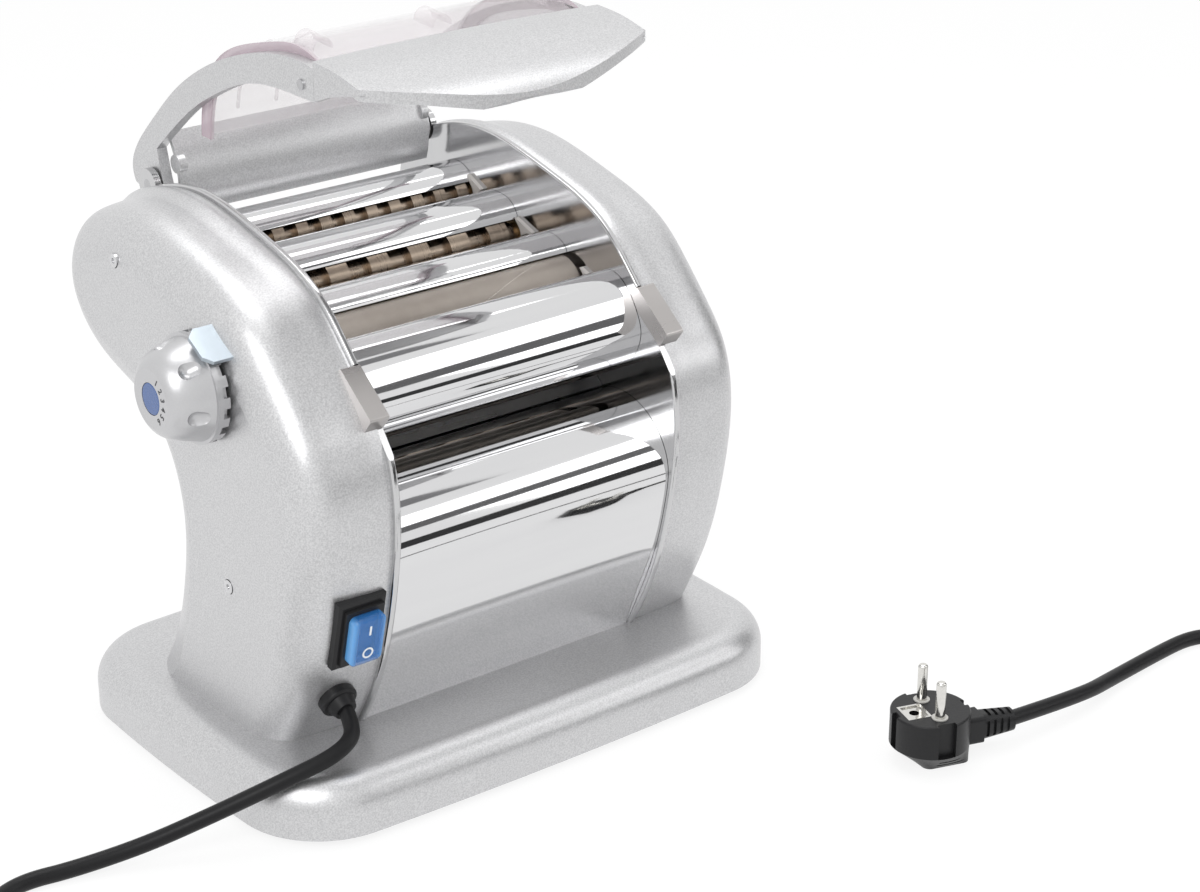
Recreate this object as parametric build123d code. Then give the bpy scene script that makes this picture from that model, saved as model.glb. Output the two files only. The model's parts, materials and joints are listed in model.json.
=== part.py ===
from build123d import *
import math
import os

os.makedirs("parts", exist_ok=True)

# Electric pasta maker. X runs along the rollers, -Y is the front, +Z is up and the
# floor is z = 0. Millimetres and degrees. Heights called *_rise are above the deck,
# the top of the base. Everything but the cord is built in the machine's own frame,
# with the roller mid-plane at x = 0 and the base centred, and is moved at the end so
# that the origin is below the middle of its box.

# ---- Driving dimensions ---------------------------------------------------------

# Base
base_half_width = 149.5
base_half_depth = 106.5
base_bow = 4.4
base_corner = 44.0
base_height = 27.0
base_soft_edge = 15.0
base_wall = 3.0
base_plate_thick = 2.0
foot_height = 4.0
foot_radius = 9.0
foot_inset_x = 34.0
foot_inset_y = 32.0
foot_recess = 1.0
base_screw_radius = 1.6
base_screw_head = 3.2
base_screw_length = 9.0
deck = foot_height + base_height

# Frame
inner_width = 156.0
plate_thick = 3.3
plate_edge_round = 1.1
cover_thick = 1.2
cover_side_gap = 0.2
tie_rod_radius = 4.0
tie_spigot_radius = 2.5
tie_rod_places = ((-62.0, 44.0), (26.0, 30.0), (-70.0, 104.0), (90.5, 190.0))
notch_width = 10.0
notch_cut_reach = 1.5

# Housings
housing_reach = 126.6
housing_wall = 2.5
rim_proud = 2.5
housing_screw_radius = 3.6
housing_screw_sink = 1.2
housing_screw_places = ((64.0, 202.0), (-22.0, 70.0))

# Rollers
roller_radius = 14.5
roller_length = 150.0
roller_journal = 7.0
cutter_radius = 10.0
cutter_root = 6.5
cutter_journal = 5.0
cutter_spacing = 18.2
narrow_rib = 6.5
wide_rib = 11.4
rib_side_gap = 0.2
rear_roller_bore = 6.5
rear_roller_stub = 8.5
running_gap = 0.05
bush_wall = 2.5
bush_flange = 1.5
bush_flange_thick = 1.0
float_bush_length = 12.0
comb_gap = 0.4
comb_thick = 1.6

# Thickness adjuster
eccentricity = 1.4
adjuster_travel = 112.5
gap_wide = 2.2
rod_radius = 4.5
collar_radius = 8.0
spindle_radius = 5.0
knob_ring_radius = 25.5
knob_ring_width = 6.0
knob_face_radius = 14.0
knob_length = 25.0
knob_stand_off = 1.6
knob_wall = 2.6
knob_notches = 16
knob_notch_width = 5.0
knob_notch_depth = 3.2
knob_scallops = 6
knob_pull_travel = 6.0
cap_radius = 7.5
cap_thick = 3.0
spring_wire = 0.5
spring_turns = 4
spring_seat = 9.0
spring_length = 10.8
spring_washer = 1.2
tab_width = 20.0
tab_length = 25.0
tab_root = 14.0
tab_thick = 2.0
tab_gap = 1.0
tab_angle = 120.0

# Gear train
gear_module = 1.3
gear_width = 6.5
gear_plane_gap = 1.5
gear_plate_gap = 2.7
backlash = 0.24
pressure_angle = 20.0
front_phase = 0.0
mesh_lead = -3.0
long_addendum = 1.25
roller_teeth = 22
cutter_teeth = 14
roller_idler_teeth = 30
cutter_idler_teeth = 20
drive_teeth = 46
pinion_teeth = 14
idler_pin_radius = 4.0
gear_plate_thick = 2.5
post_radius = 4.0
post_places = ((-58.0, 139.0), (3.0, 190.0), (88.0, 172.0), (-8.0, 100.0))

# Motor and gearbox
motor_radius = 31.0
motor_length = 92.0
motor_y = -24.0
motor_rise = 52.0
gearbox_depth = 42.0
bracket_thick = 3.0
capacitor_radius = 14.0
capacitor_length = 34.0

# Lid
hinge_y = 110.0
hinge_rise = 217.0
hinge_pin_radius = 3.0
hinge_knuckle = 8.0
lid_travel = 38.0
arm_thick = 5.5
arm_side_gap = 1.0
window_thick = 2.0
window_lift = 4.0
window_flange = 4.0
window_tuck = 12.0
beam_thick = 2.2
beam_boss_radius = 4.5
beam_boss_length = 4.0
beam_boss_place = (99.5, 228.0)
visor_thick = 2.2
visor_lip = 5.0
visor_lip_thick = 1.8
visor_side_gap = 0.6
visor_screw_radius = 2.4
visor_screw_place = (-22.8, 295.2)
visor_screw_head = 0.8

# Switch, gland and cord
switch_x = -97.0
switch_width = 25.0
switch_height = 36.0
switch_flange = 3.0
switch_body_depth = 17.0
boot_width = 17.0
boot_height = 25.5
boot_lift = 7.0
boot_wall = 1.2
rocker_travel = 12.0
rocker_pivot_height = 1.0
rocker_pin_radius = 1.2
panel_seat = 1.6
gland_x = -100.0
gland_radius = 9.0
gland_thread = 6.2
gland_flange_thick = 3.5
gland_dome_height = 4.5
cord_radius = 3.75
plug_radius = 19.0
plug_height = 26.0
plug_pin_radius = 2.4
plug_pin_length = 19.0
plug_pin_spacing = 19.0
plug_pin_root = 6.0
plug_place = (142.0, -219.0)
plug_wedge_height = 9.0
plug_keel = (24.0, 22.0)
plug_keel_middle = 5.0
plug_keel_corner = 4.0
plug_grip_levels = (2.6, 5.2)
plug_grip_groove = (22.0, 2.0, 1.0)
plug_guide_width = 9.0
plug_guide_depth = 3.0
plug_slot_width = 5.0
plug_slot_depth = 2.4
plug_far_slot = 5.5
plug_rim = 4.0
plug_neck = (12.0, 13.0, 14.0)
earth_plate_size = (12.0, 13.4, 1.4)
earth_plate_rim = 1.2
earth_plate_middle = -8.6
earth_hole_radius = 2.4
earth_hole_depth = 12.0
earth_clip_size = (0.8, 4.4, 4.6)
relief_length = 24.0
relief_turn = -18.0
relief_height = 12.5
relief_start = 7.0
relief_near = (13.0, 12.0, 4.0)
relief_far = (11.0, 11.0, 5.0)
relief_slots = 4
relief_slot_pitch = 3.6
relief_slot_width = 1.6
relief_slot_depth = 3.0

# ---- Places worked out from them ------------------------------------------------

inner_half = inner_width / 2
plate_outer = inner_half + plate_thick
cover_half = inner_half - cover_side_gap
roller_half = roller_length / 2
gear_start = plate_outer + bush_flange_thick + 1.7
second_plane = gear_start + gear_width + gear_plane_gap
gear_end = second_plane + gear_width
gear_plate_x = gear_end + gear_plate_gap
roller_pitch = gear_module * roller_teeth / 2

# Axes of the rollers as (y, z).
rear_roller_axis = (-10.0, deck + 166.0)
roller_line = (-0.9610, -0.2765)
front_roller_axis = (
    rear_roller_axis[0] + roller_line[0] * (2 * roller_radius + gap_wide),
    rear_roller_axis[1] + roller_line[1] * (2 * roller_radius + gap_wide),
)
wide_front_axis = (18.2, deck + 173.0)
narrow_front_axis = (57.3, deck + 184.0)
pair_tilt = 18.5


def beside(axis, distance, angle):
    """The point a distance from an axis, at an angle from +Y towards +Z."""
    turn = math.radians(angle)
    return (axis[0] + distance * math.cos(turn), axis[1] + distance * math.sin(turn))


def reach(a, b):
    """Distance between two axes."""
    return math.hypot(b[0] - a[0], b[1] - a[1])


def bearing_of(a, b):
    """Angle of the line from axis a to axis b, from +Y towards +Z."""
    return math.degrees(math.atan2(b[1] - a[1], b[0] - a[0]))


def mesh_point(a, radius_a, b, radius_b, side):
    """Axis at two given distances from axes a and b, on one side of the line a-b."""
    gap = reach(a, b)
    along = (radius_a**2 - radius_b**2 + gap**2) / (2 * gap)
    off = math.sqrt(radius_a**2 - along**2)
    angle = bearing_of(a, b)
    return beside(beside(a, along, angle), off, angle + side * 90)


def centre_distance(teeth_a, teeth_b):
    """Distance between the axes of two meshing gears."""
    return gear_module * (teeth_a + teeth_b) / 2


wide_rear_axis = beside(wide_front_axis, cutter_spacing, pair_tilt)
narrow_rear_axis = beside(narrow_front_axis, cutter_spacing, pair_tilt)
closing_angle = bearing_of(front_roller_axis, rear_roller_axis) + 180
adjuster_axis = beside(rear_roller_axis, -eccentricity, closing_angle - adjuster_travel)
cutter_idler_axis = mesh_point(
    wide_rear_axis,
    centre_distance(cutter_teeth, cutter_idler_teeth),
    narrow_rear_axis,
    centre_distance(cutter_teeth, cutter_idler_teeth),
    -1,
)
drive_axis = beside(wide_rear_axis, centre_distance(cutter_teeth, drive_teeth), 250)
roller_idler_axis = mesh_point(
    front_roller_axis,
    centre_distance(roller_teeth, roller_idler_teeth),
    drive_axis,
    centre_distance(roller_idler_teeth, drive_teeth),
    -1,
)
pinion_axis = beside(drive_axis, centre_distance(drive_teeth, pinion_teeth), 255)
hinge_axis = (hinge_y, deck + hinge_rise)

# Side outline (y, rise) of the machine, from the front foot over the crown to the
# rear lobe and down the waist to the rear foot.
outline_points = (
    (-56.5, 0.0),
    (-76.0, 38.5),
    (-87.0, 80.0),
    (-91.0, 117.0),
    (-83.5, 151.0),
    (-61.5, 178.7),
    (-33.0, 204.5),
    (9.9, 219.0),
    (60.0, 227.0),
    (99.0, 220.0),
    (126.0, 202.5),
    (132.5, 181.0),
    (121.0, 153.0),
    (92.0, 134.0),
    (60.0, 122.5),
    (43.5, 102.0),
    (42.0, 66.0),
    (50.0, 35.0),
    (67.0, 0.0),
)
# Notch plate corners (y, rise): top, nose and the foot of the nose.
notch_top = (-61.5, 178.7)
notch_nose = (-84.3, 161.0)
notch_foot = (-78.4, 153.6)

# Housing sections as (share of the housing's depth, front inset, rear inset).
housing_sections = (
    (0.0, rim_proud, rim_proud),
    (0.30, 2.9, 3.0),
    (0.52, 3.6, 4.5),
    (0.68, 4.4, 7.0),
    (0.81, 6.8, 12.5),
    (0.90, 11.5, 18.5),
    (0.96, 17.0, 24.0),
    (1.0, 24.0, 29.0),
)
outline_samples = 30


# ---- Shapes used by many pieces -------------------------------------------------


def raised(points):
    """Points given as (y, rise) turned into (y, z)."""
    return [(y, deck + rise) for y, rise in points]


def bar(radius, x_from, x_to, axis):
    """Round bar parallel to X."""
    middle = (x_from + x_to) / 2
    return Pos(middle, axis[0], axis[1]) * Rot(0, 90, 0) * Cylinder(radius, abs(x_to - x_from))


def ring(outer, inner, x_from, x_to, axis):
    """Round tube parallel to X."""
    return bar(outer, x_from, x_to, axis) - bar(inner, x_from - 1, x_to + 1, axis)


def side_plane(x):
    """Plane across X whose sketch coordinates are (y, z)."""
    return Plane(origin=(x, 0, 0), x_dir=(0, 1, 0), z_dir=(1, 0, 0))


def slab(face, x_from, x_to):
    """A (y, z) face extruded along X."""
    return extrude(side_plane(x_from) * face, amount=x_to - x_from)


def closed_face(points):
    """Face inside straight lines through the points."""
    return make_face(Polyline(*points, close=True))


def normals(curve, count):
    """Evenly spaced (point, left-hand normal) pairs along a curve."""
    pairs = []
    for step in range(count):
        share = step / (count - 1)
        tangent = curve % share
        pairs.append((curve @ share, Vector(-tangent.Y, tangent.X)))
    return pairs


def sheet_face(points, thick, count=24):
    """Section of a bent sheet: its outer line runs through the points and its
    thickness lies on the left of the way they run."""
    outer = Spline(*points)
    inner_points = [tuple(p + n * thick)[:2] for p, n in normals(outer, count)]
    inner = Spline(*inner_points)
    ends = [Line(outer @ 0, inner @ 0), Line(outer @ 1, inner @ 1)]
    return make_face(Curve() + [outer, inner] + ends)


def above_deck(shape):
    """A piece trimmed flat where it stands on the base."""
    size = 4 * base_half_width
    return shape - Pos(0, 0, deck - size / 2) * Box(size, size, size)


def spread(shape):
    """A shape and its mirror image across the roller mid-plane."""
    return [shape, mirror(shape, Plane.YZ)]


# ---- Side outline ---------------------------------------------------------------


def outline_wire(front_inset, rear_inset, foot_drop=0.0):
    """Side outline moved inwards, more at the rear than at the front or the other way,
    and closed by a straight foot."""
    curve = Spline(*raised(outline_points))
    points = []
    for point, normal in normals(curve, outline_samples):
        inward = Vector(-normal.X, -normal.Y)
        rearness = (1 - inward.X) / 2
        inset = front_inset + (rear_inset - front_inset) * rearness
        points.append((point.X + inward.X * inset, point.Y + inward.Y * inset))
    points[0] = ((curve @ 0).X + front_inset, deck - foot_drop)
    points[-1] = ((curve @ 1).X - rear_inset, deck - foot_drop)
    edge = Spline(*points)
    return Curve() + [edge, Line(edge @ 1, edge @ 0)]


def outline_face(front_inset=0.0, rear_inset=0.0, foot_drop=0.0):
    """Face inside the side outline."""
    return make_face(outline_wire(front_inset, rear_inset, foot_drop))


# ---- Base -----------------------------------------------------------------------


def base_face(inset):
    """Bowed rectangle with round corners, seen from above."""
    half_x = base_half_width - inset
    half_y = base_half_depth - inset
    corner_x = half_x - base_bow
    corner_y = half_y - base_bow
    sides = [
        ThreePointArc((-corner_x, -corner_y), (0, -half_y), (corner_x, -corner_y)),
        ThreePointArc((corner_x, -corner_y), (half_x, 0), (corner_x, corner_y)),
        ThreePointArc((corner_x, corner_y), (0, half_y), (-corner_x, corner_y)),
        ThreePointArc((-corner_x, corner_y), (-half_x, 0), (-corner_x, -corner_y)),
    ]
    face = make_face(Curve() + sides)
    return fillet(face.vertices(), base_corner - inset)


def pillow(inset, z_from, z_to, edge):
    """Base body with a soft top edge."""
    body = extrude(Plane.XY.offset(z_from) * base_face(inset), amount=z_to - z_from)
    return fillet(body.faces().sort_by(Axis.Z)[-1].edges(), edge)


def foot_places():
    """Centres (x, y) of the four feet."""
    x = base_half_width - foot_inset_x
    y = base_half_depth - foot_inset_y
    return [(sx * x, sy * y) for sx in (-1, 1) for sy in (-1, 1)]


def base_screw_places():
    """Centres (x, y) of the screws that hold the base plate."""
    x = base_half_width - foot_inset_x
    y = base_half_depth - foot_inset_y
    return [(sx * x, sy * y * 0.4) for sx in (-1, 1) for sy in (-1, 1)]


def make_base_shell():
    hollow_top = deck - base_wall
    shell = pillow(0, foot_height, deck, base_soft_edge)
    shell -= pillow(base_wall, foot_height - 1, hollow_top, base_soft_edge - base_wall)
    plate_top = foot_height + base_plate_thick
    boss_radius = base_screw_radius + 3
    for x, y in base_screw_places():
        height = hollow_top - plate_top
        boss = Pos(x, y, plate_top + height / 2) * Cylinder(boss_radius, height)
        bore = Pos(x, y, plate_top + base_screw_length / 2) * Cylinder(
            base_screw_radius, base_screw_length
        )
        shell += boss - bore
    return shell


def make_base_plate():
    plate = extrude(Plane.XY.offset(foot_height) * base_face(base_wall), amount=base_plate_thick)
    for x, y in foot_places():
        plate -= Pos(x, y, foot_height) * Cylinder(foot_radius - 3, 4 * base_plate_thick)
    for x, y in base_screw_places():
        plate -= Pos(x, y, foot_height) * Cylinder(base_screw_radius, 4 * base_plate_thick)
    return plate


def make_feet():
    feet = []
    for x, y in foot_places():
        pad = Pos(x, y, foot_height / 2) * Cylinder(foot_radius, foot_height)
        pad = chamfer(pad.faces().sort_by(Axis.Z)[0].edges(), foot_recess)
        stem_height = base_plate_thick + 3
        stem = Pos(x, y, foot_height + stem_height / 2) * Cylinder(foot_radius - 3, stem_height)
        feet.append(pad + stem)
    return feet


def make_base_screws():
    screws = []
    head_top = foot_height
    head_height = 2.0
    for x, y in base_screw_places():
        head = Pos(x, y, head_top - head_height / 2) * Cylinder(base_screw_head, head_height)
        length = base_plate_thick + base_screw_length
        shank = Pos(x, y, head_top + length / 2) * Cylinder(base_screw_radius, length)
        screws.append(head + shank)
    return screws


# ---- Side plates and housings ---------------------------------------------------


def notch_face(reach_out=0.0):
    """Section of a notch plate; its outer side can be moved outwards for a cut."""
    side_y = notch_foot[0] - notch_nose[0]
    side_rise = notch_foot[1] - notch_nose[1]
    back = (notch_top[0] + side_y, notch_top[1] + side_rise)
    share = reach_out / math.hypot(side_y, side_rise)
    top = (notch_top[0] - side_y * share, notch_top[1] - side_rise * share)
    nose = (notch_nose[0] - side_y * share, notch_nose[1] - side_rise * share)
    return closed_face(raised((top, nose, notch_foot, back)))


def make_notch_plates():
    block = slab(notch_face(), inner_half, inner_half + notch_width)
    block = fillet(block.edges().filter_by(Axis.X), 1.2)
    return spread(block)


def bush_holes():
    """(axis, radius) of each round hole through both side plates."""
    cutter_bush = cutter_journal + bush_wall
    holes = [
        (wide_front_axis, cutter_bush),
        (wide_rear_axis, cutter_bush),
        (narrow_front_axis, cutter_bush),
        (narrow_rear_axis, cutter_bush),
        (front_roller_axis, roller_journal + bush_wall),
    ]
    holes += [(place, tie_spigot_radius) for place in raised(tie_rod_places)]
    holes.append((hinge_axis, hinge_pin_radius))
    return holes


def make_side_plate(side):
    """One side plate: side is -1 for the left (knob) plate and 1 for the right one."""
    plate = above_deck(slab(outline_face(), inner_half, plate_outer))
    plate = fillet(plate.edges().filter_by(GeomType.BSPLINE), plate_edge_round)
    plate += bar(hinge_knuckle, inner_half, plate_outer, hinge_axis)
    below_nose = (-95.0, 150.0)
    rim_turn = (-87.8, 141.0)
    step = closed_face(raised((notch_nose, notch_foot, rim_turn, below_nose)))
    plate -= slab(step, inner_half - 1, plate_outer + 1)
    plate -= slab(notch_face(notch_cut_reach), inner_half - 1, plate_outer + 1)
    for axis, radius in bush_holes():
        plate -= bar(radius, inner_half - 1, plate_outer + 1, axis)
    if side > 0:
        stub_way = rear_roller_stub + eccentricity * 2 + 1
        plate -= bar(stub_way, inner_half - 1, plate_outer + 1, adjuster_axis)
        plate -= bar(cutter_journal + 2, inner_half - 1, plate_outer + 1, pinion_axis)
        return plate
    plate -= bar(collar_radius + bush_wall, inner_half - 1, plate_outer + 1, adjuster_axis)
    return mirror(plate, Plane.YZ)


def housing_loft(depth_from, depth_to, extra_inset, foot_drop):
    """Solid through the housing's sections."""
    faces = []
    for share, front, rear in housing_sections:
        x = depth_from + (depth_to - depth_from) * share
        face = outline_face(front + extra_inset, rear + extra_inset, foot_drop)
        faces.append(side_plane(x) * face)
    return loft(faces)


def make_housing_shell():
    """Right-hand housing, open towards the side plate and the base."""
    shell = housing_loft(plate_outer, housing_reach, 0, 0)
    inside = housing_loft(plate_outer - 0.5, housing_reach - housing_wall, housing_wall, 1)
    shell -= inside
    shell = above_deck(shell)
    notch = slab(notch_face(), inner_half, inner_half + notch_width)
    shell -= notch
    bore = housing_screw_radius * 0.5
    for axis in raised(housing_screw_places):
        shell -= bar(bore, plate_outer, housing_reach + 1, axis)
        shell -= bar(housing_screw_radius, housing_reach - housing_screw_sink, housing_reach + 1, axis)
    return shell


def band_plane(x, rise):
    """Plane on the housing's front band, with +Z outwards and its x along +X."""
    curve = Spline(*raised(outline_points))
    share = 0.0
    while (curve @ share).Y < deck + rise:
        share += 0.0005
    tangent = curve % share
    outward = Vector(0, -tangent.Y, tangent.X)
    point = curve @ share
    origin = Vector(x, point.X, point.Y) - outward * rim_proud
    return Plane(origin=origin, x_dir=(1, 0, 0), z_dir=outward)


def switch_plane():
    return band_plane(switch_x, 62.0)


def gland_plane():
    return band_plane(gland_x, 22.0)


def switch_hole():
    """Width and height of the switch's body, which fills the hole in the housing."""
    return (switch_width - 4, switch_height - 4)


def make_right_housing():
    return make_housing_shell()


def make_left_housing():
    shell = mirror(make_housing_shell(), Plane.YZ)
    shell -= bar(spindle_radius + 1.5, -housing_reach - 1, -plate_outer - 5, adjuster_axis)
    depth = 2 * switch_body_depth
    shell -= switch_plane() * Box(*switch_hole(), depth)
    shell -= switch_plane() * Pos(0, 0, depth / 2 - panel_seat) * Box(switch_width, switch_height, depth)
    shell -= gland_plane() * Cylinder(gland_thread, depth)
    shell -= gland_plane() * Pos(0, 0, depth / 2 - panel_seat) * Cylinder(gland_radius, depth)
    return shell - make_index_tab()


def make_housing_screws():
    screws = []
    bore = housing_screw_radius * 0.5
    for axis in raised(housing_screw_places):
        face = housing_reach - housing_screw_sink
        head = bar(housing_screw_radius - 0.3, face, face + 1.6, axis)
        head -= bar(1.3, face + 0.8, face + 2, axis)
        shank = bar(bore, plate_outer, face, axis)
        screws += spread(head + shank)
    return screws


# ---- Covers ---------------------------------------------------------------------


def cover(points):
    """Bent cover strip between the side plates."""
    return slab(sheet_face(raised(points), cover_thick), -cover_half, cover_half)


def clear_of_rollers(shape):
    """A fixed piece trimmed back from everything that turns."""
    swept = roller_radius + 0.8
    shape -= bar(swept, -inner_half, inner_half, front_roller_axis)
    shape -= bar(swept + eccentricity, -inner_half, inner_half, adjuster_axis)
    for axis in (wide_front_axis, wide_rear_axis, narrow_front_axis, narrow_rear_axis):
        shape -= bar(cutter_radius + 0.5, -inner_half, inner_half, axis)
    return shape


def make_lower_front_cover():
    points = (
        (-34.0, 119.0),
        (-54.0, 123.0),
        (-68.7, 118.5),
        (-79.0, 110.0),
        (-85.5, 97.0),
        (-84.3, 78.0),
        (-78.0, 52.6),
        (-67.0, 25.0),
        (-55.0, 0.0),
    )
    return above_deck(cover(points))


def make_upper_front_cover():
    points = (
        (-28.0, 173.0),
        (-33.5, 178.6),
        (-43.0, 181.6),
        (-54.0, 176.8),
        (-61.5, 167.0),
        (-65.0, 157.5),
        (-62.7, 147.8),
        (-54.7, 136.6),
    )
    return clear_of_rollers(cover(points))


def make_front_strip():
    points = (
        (16.5, 180.5),
        (15.0, 184.0),
        (6.0, 187.6),
        (-3.0, 186.4),
        (-7.5, 183.5),
        (-8.5, 181.0),
    )
    return clear_of_rollers(cover(points))


def make_middle_strip():
    points = (
        (58.5, 191.0),
        (57.0, 195.0),
        (47.0, 197.5),
        (36.0, 195.3),
        (31.0, 189.5),
        (30.2, 185.5),
    )
    return clear_of_rollers(cover(points))


def make_rear_strip():
    points = (
        (97.5, 190.0),
        (94.0, 200.0),
        (79.0, 205.3),
        (70.6, 202.0),
        (67.5, 198.0),
    )
    return clear_of_rollers(cover(points))


def make_sheet_chute():
    return cover(((-6.5, 145.0), (-20.0, 134.5), (-36.0, 121.0)))


def make_rear_cover():
    points = (
        (61.0, 0.0),
        (45.0, 34.0),
        (38.5, 66.0),
        (38.5, 102.0),
        (30.0, 124.0),
        (-3.6, 145.4),
    )
    return above_deck(cover(points))


def make_end_guides():
    """Small wedges that close the ends of the three feed slots."""
    guides = []
    thick = inner_half - roller_half - 0.8
    covers = [make_upper_front_cover(), make_front_strip(), make_middle_strip(), make_rear_strip()]
    corners = (
        ((69.5, 201.0), (58.5, 196.0), (65.9, 187.0)),
        ((30.0, 189.0), (16.5, 184.5), (26.8, 176.6)),
        ((-10.5, 181.0), (-29.0, 174.5), (-24.8, 163.5)),
    )
    for points in corners:
        wedge = clear_of_rollers(slab(closed_face(raised(points)), inner_half - thick, inner_half))
        for strip in covers:
            wedge -= strip
        guides += spread(wedge.solids().sort_by(SortBy.VOLUME)[-1])
    return guides


def make_tie_rods():
    rods = []
    for axis in raised(tie_rod_places):
        rod = bar(tie_rod_radius, -inner_half, inner_half, axis)
        rods.append(rod + bar(tie_spigot_radius, -plate_outer, plate_outer, axis))
    return rods


# ---- Rollers --------------------------------------------------------------------


def bush(journal, axis, side):
    """Flanged plain bush in a side plate; the flange is outside the plate."""
    outer = journal + bush_wall
    end = plate_outer + bush_flange_thick
    inner = journal + running_gap
    sleeve = ring(outer, inner, inner_half, end, axis)
    sleeve += ring(outer + bush_flange, inner, plate_outer, end, axis)
    return sleeve if side > 0 else mirror(sleeve, Plane.YZ)


def make_roller_bushes():
    bushes = []
    for side in (-1, 1):
        for axis in (wide_front_axis, wide_rear_axis, narrow_front_axis, narrow_rear_axis):
            bushes.append(bush(cutter_journal, axis, side))
        bushes.append(bush(roller_journal, front_roller_axis, side))
    bushes.append(bush(collar_radius, adjuster_axis, -1))
    seat = gear_plate_x + gear_plate_thick
    bushes.append(
        ring(collar_radius + bush_wall, collar_radius + running_gap, gear_plate_x, seat, adjuster_axis)
    )
    return bushes


def make_front_roller():
    roller = bar(roller_radius, -roller_half, roller_half, front_roller_axis)
    left_end = plate_outer + bush_flange_thick
    return roller + bar(roller_journal, -left_end, gear_end, front_roller_axis)


def make_rear_roller():
    roller = bar(roller_radius, -roller_half, roller_half, rear_roller_axis)
    roller += bar(rear_roller_stub, roller_half, gear_start + gear_width, rear_roller_axis)
    end = gear_start + gear_width + 1
    return roller - bar(rear_roller_bore, -roller_half - 1, end, rear_roller_axis)


def rib_places(rib, start):
    """Middles of the ribs along a cutter; start is 0 or 1, for which of a pair it is."""
    pitch = 2 * (rib + rib_side_gap)
    count = int(roller_length / pitch)
    first = -(count - 0.5) * pitch / 2 + start * pitch / 2
    return [first + step * pitch for step in range(count)]


def make_cutter(axis, rib, start, journal_end):
    """Cutter roller: a core with broad ribs that run in its partner's grooves."""
    cutter = bar(cutter_root, -roller_half, roller_half, axis)
    for middle in rib_places(rib, start):
        cutter += bar(cutter_radius, middle - rib / 2, middle + rib / 2, axis)
    left_end = plate_outer + bush_flange_thick
    return cutter + bar(cutter_journal, -left_end, journal_end, axis)


def make_comb(axis, rib, start, angle):
    """Stripper comb whose fingers lie in one cutter's grooves."""
    pitch = 2 * (rib + rib_side_gap)
    finger = rib + 2 * rib_side_gap - 2 * comb_gap
    root_gap = cutter_root + comb_gap
    bar_gap = cutter_radius + 1.0
    spine_depth = 4.0
    spine = Box(2 * cover_half, spine_depth, comb_thick)
    comb = Pos(0, bar_gap + spine_depth / 2, 0) * spine
    length = bar_gap - root_gap + 0.5
    for middle in rib_places(rib, start):
        x = middle + pitch / 2
        if abs(x) + finger / 2 < roller_half:
            comb += Pos(x, root_gap + length / 2, 0) * Box(finger, length, comb_thick)
    return Pos(0, axis[0], axis[1]) * Rot(angle, 0, 0) * comb


def make_combs():
    combs = []
    for front, rear, rib, front_angle in (
        (wide_front_axis, wide_rear_axis, wide_rib, 225),
        (narrow_front_axis, narrow_rear_axis, narrow_rib, 240),
    ):
        combs.append(make_comb(front, rib, 0, front_angle))
        combs.append(make_comb(rear, rib, 1, 320))
    return combs


def make_floating_bushes():
    outer = rear_roller_bore - running_gap
    inner = rod_radius + running_gap
    bushes = []
    for middle in (-roller_half + float_bush_length / 2, roller_half + float_bush_length / 2):
        start = middle - float_bush_length / 2
        bushes.append(ring(outer, inner, start, start + float_bush_length, rear_roller_axis))
    return bushes


# ---- Gears ----------------------------------------------------------------------


def gear_face(teeth, phase, addendum, dedendum, thinning):
    """Involute gear outline centred on the origin, with a tooth middle at the phase."""
    pitch_radius = gear_module * teeth / 2
    base_radius = pitch_radius * math.cos(math.radians(pressure_angle))
    tip = pitch_radius + addendum * gear_module
    root = pitch_radius - dedendum * gear_module
    thickness = math.pi * gear_module / 2 - thinning
    start = max(root + 0.3, min(base_radius, pitch_radius - 0.5))
    radii = (root, start, pitch_radius, (pitch_radius + tip) / 2, tip)
    pressure = math.radians(pressure_angle)
    pitch_share = thickness / (2 * pitch_radius) + math.tan(pressure) - pressure
    flank = []
    for radius in radii:
        roll = math.acos(base_radius / max(radius, base_radius))
        flank.append((radius, pitch_share - math.tan(roll) + roll))
    points = []
    for tooth in range(teeth):
        middle = math.radians(phase) + 2 * math.pi * tooth / teeth
        for radius, half in flank:
            points.append((radius * math.cos(middle - half), radius * math.sin(middle - half)))
        for radius, half in reversed(flank):
            points.append((radius * math.cos(middle + half), radius * math.sin(middle + half)))
    return closed_face(points)


def gear(teeth, phase, bore, x_from, x_to, axis, long_teeth=False):
    """Spur gear on an axis parallel to X."""
    addendum = long_addendum if long_teeth else 1.0
    dedendum = addendum + 0.35
    thinning = backlash * 1.5 if long_teeth else backlash
    face = Pos(axis[0], axis[1]) * gear_face(teeth, phase, addendum, dedendum, thinning)
    return slab(face, x_from, x_to) - bar(bore, x_from - 1, x_to + 1, axis)


def meshed_phase(teeth_a, phase_a, axis_a, teeth_b, axis_b):
    """Phase of gear b that puts its tooth in a gap of gear a."""
    line = bearing_of(axis_a, axis_b)
    tooth_share = (line - phase_a) * teeth_a / 360
    return line + 180 - (0.5 - tooth_share) * 360 / teeth_b


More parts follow.
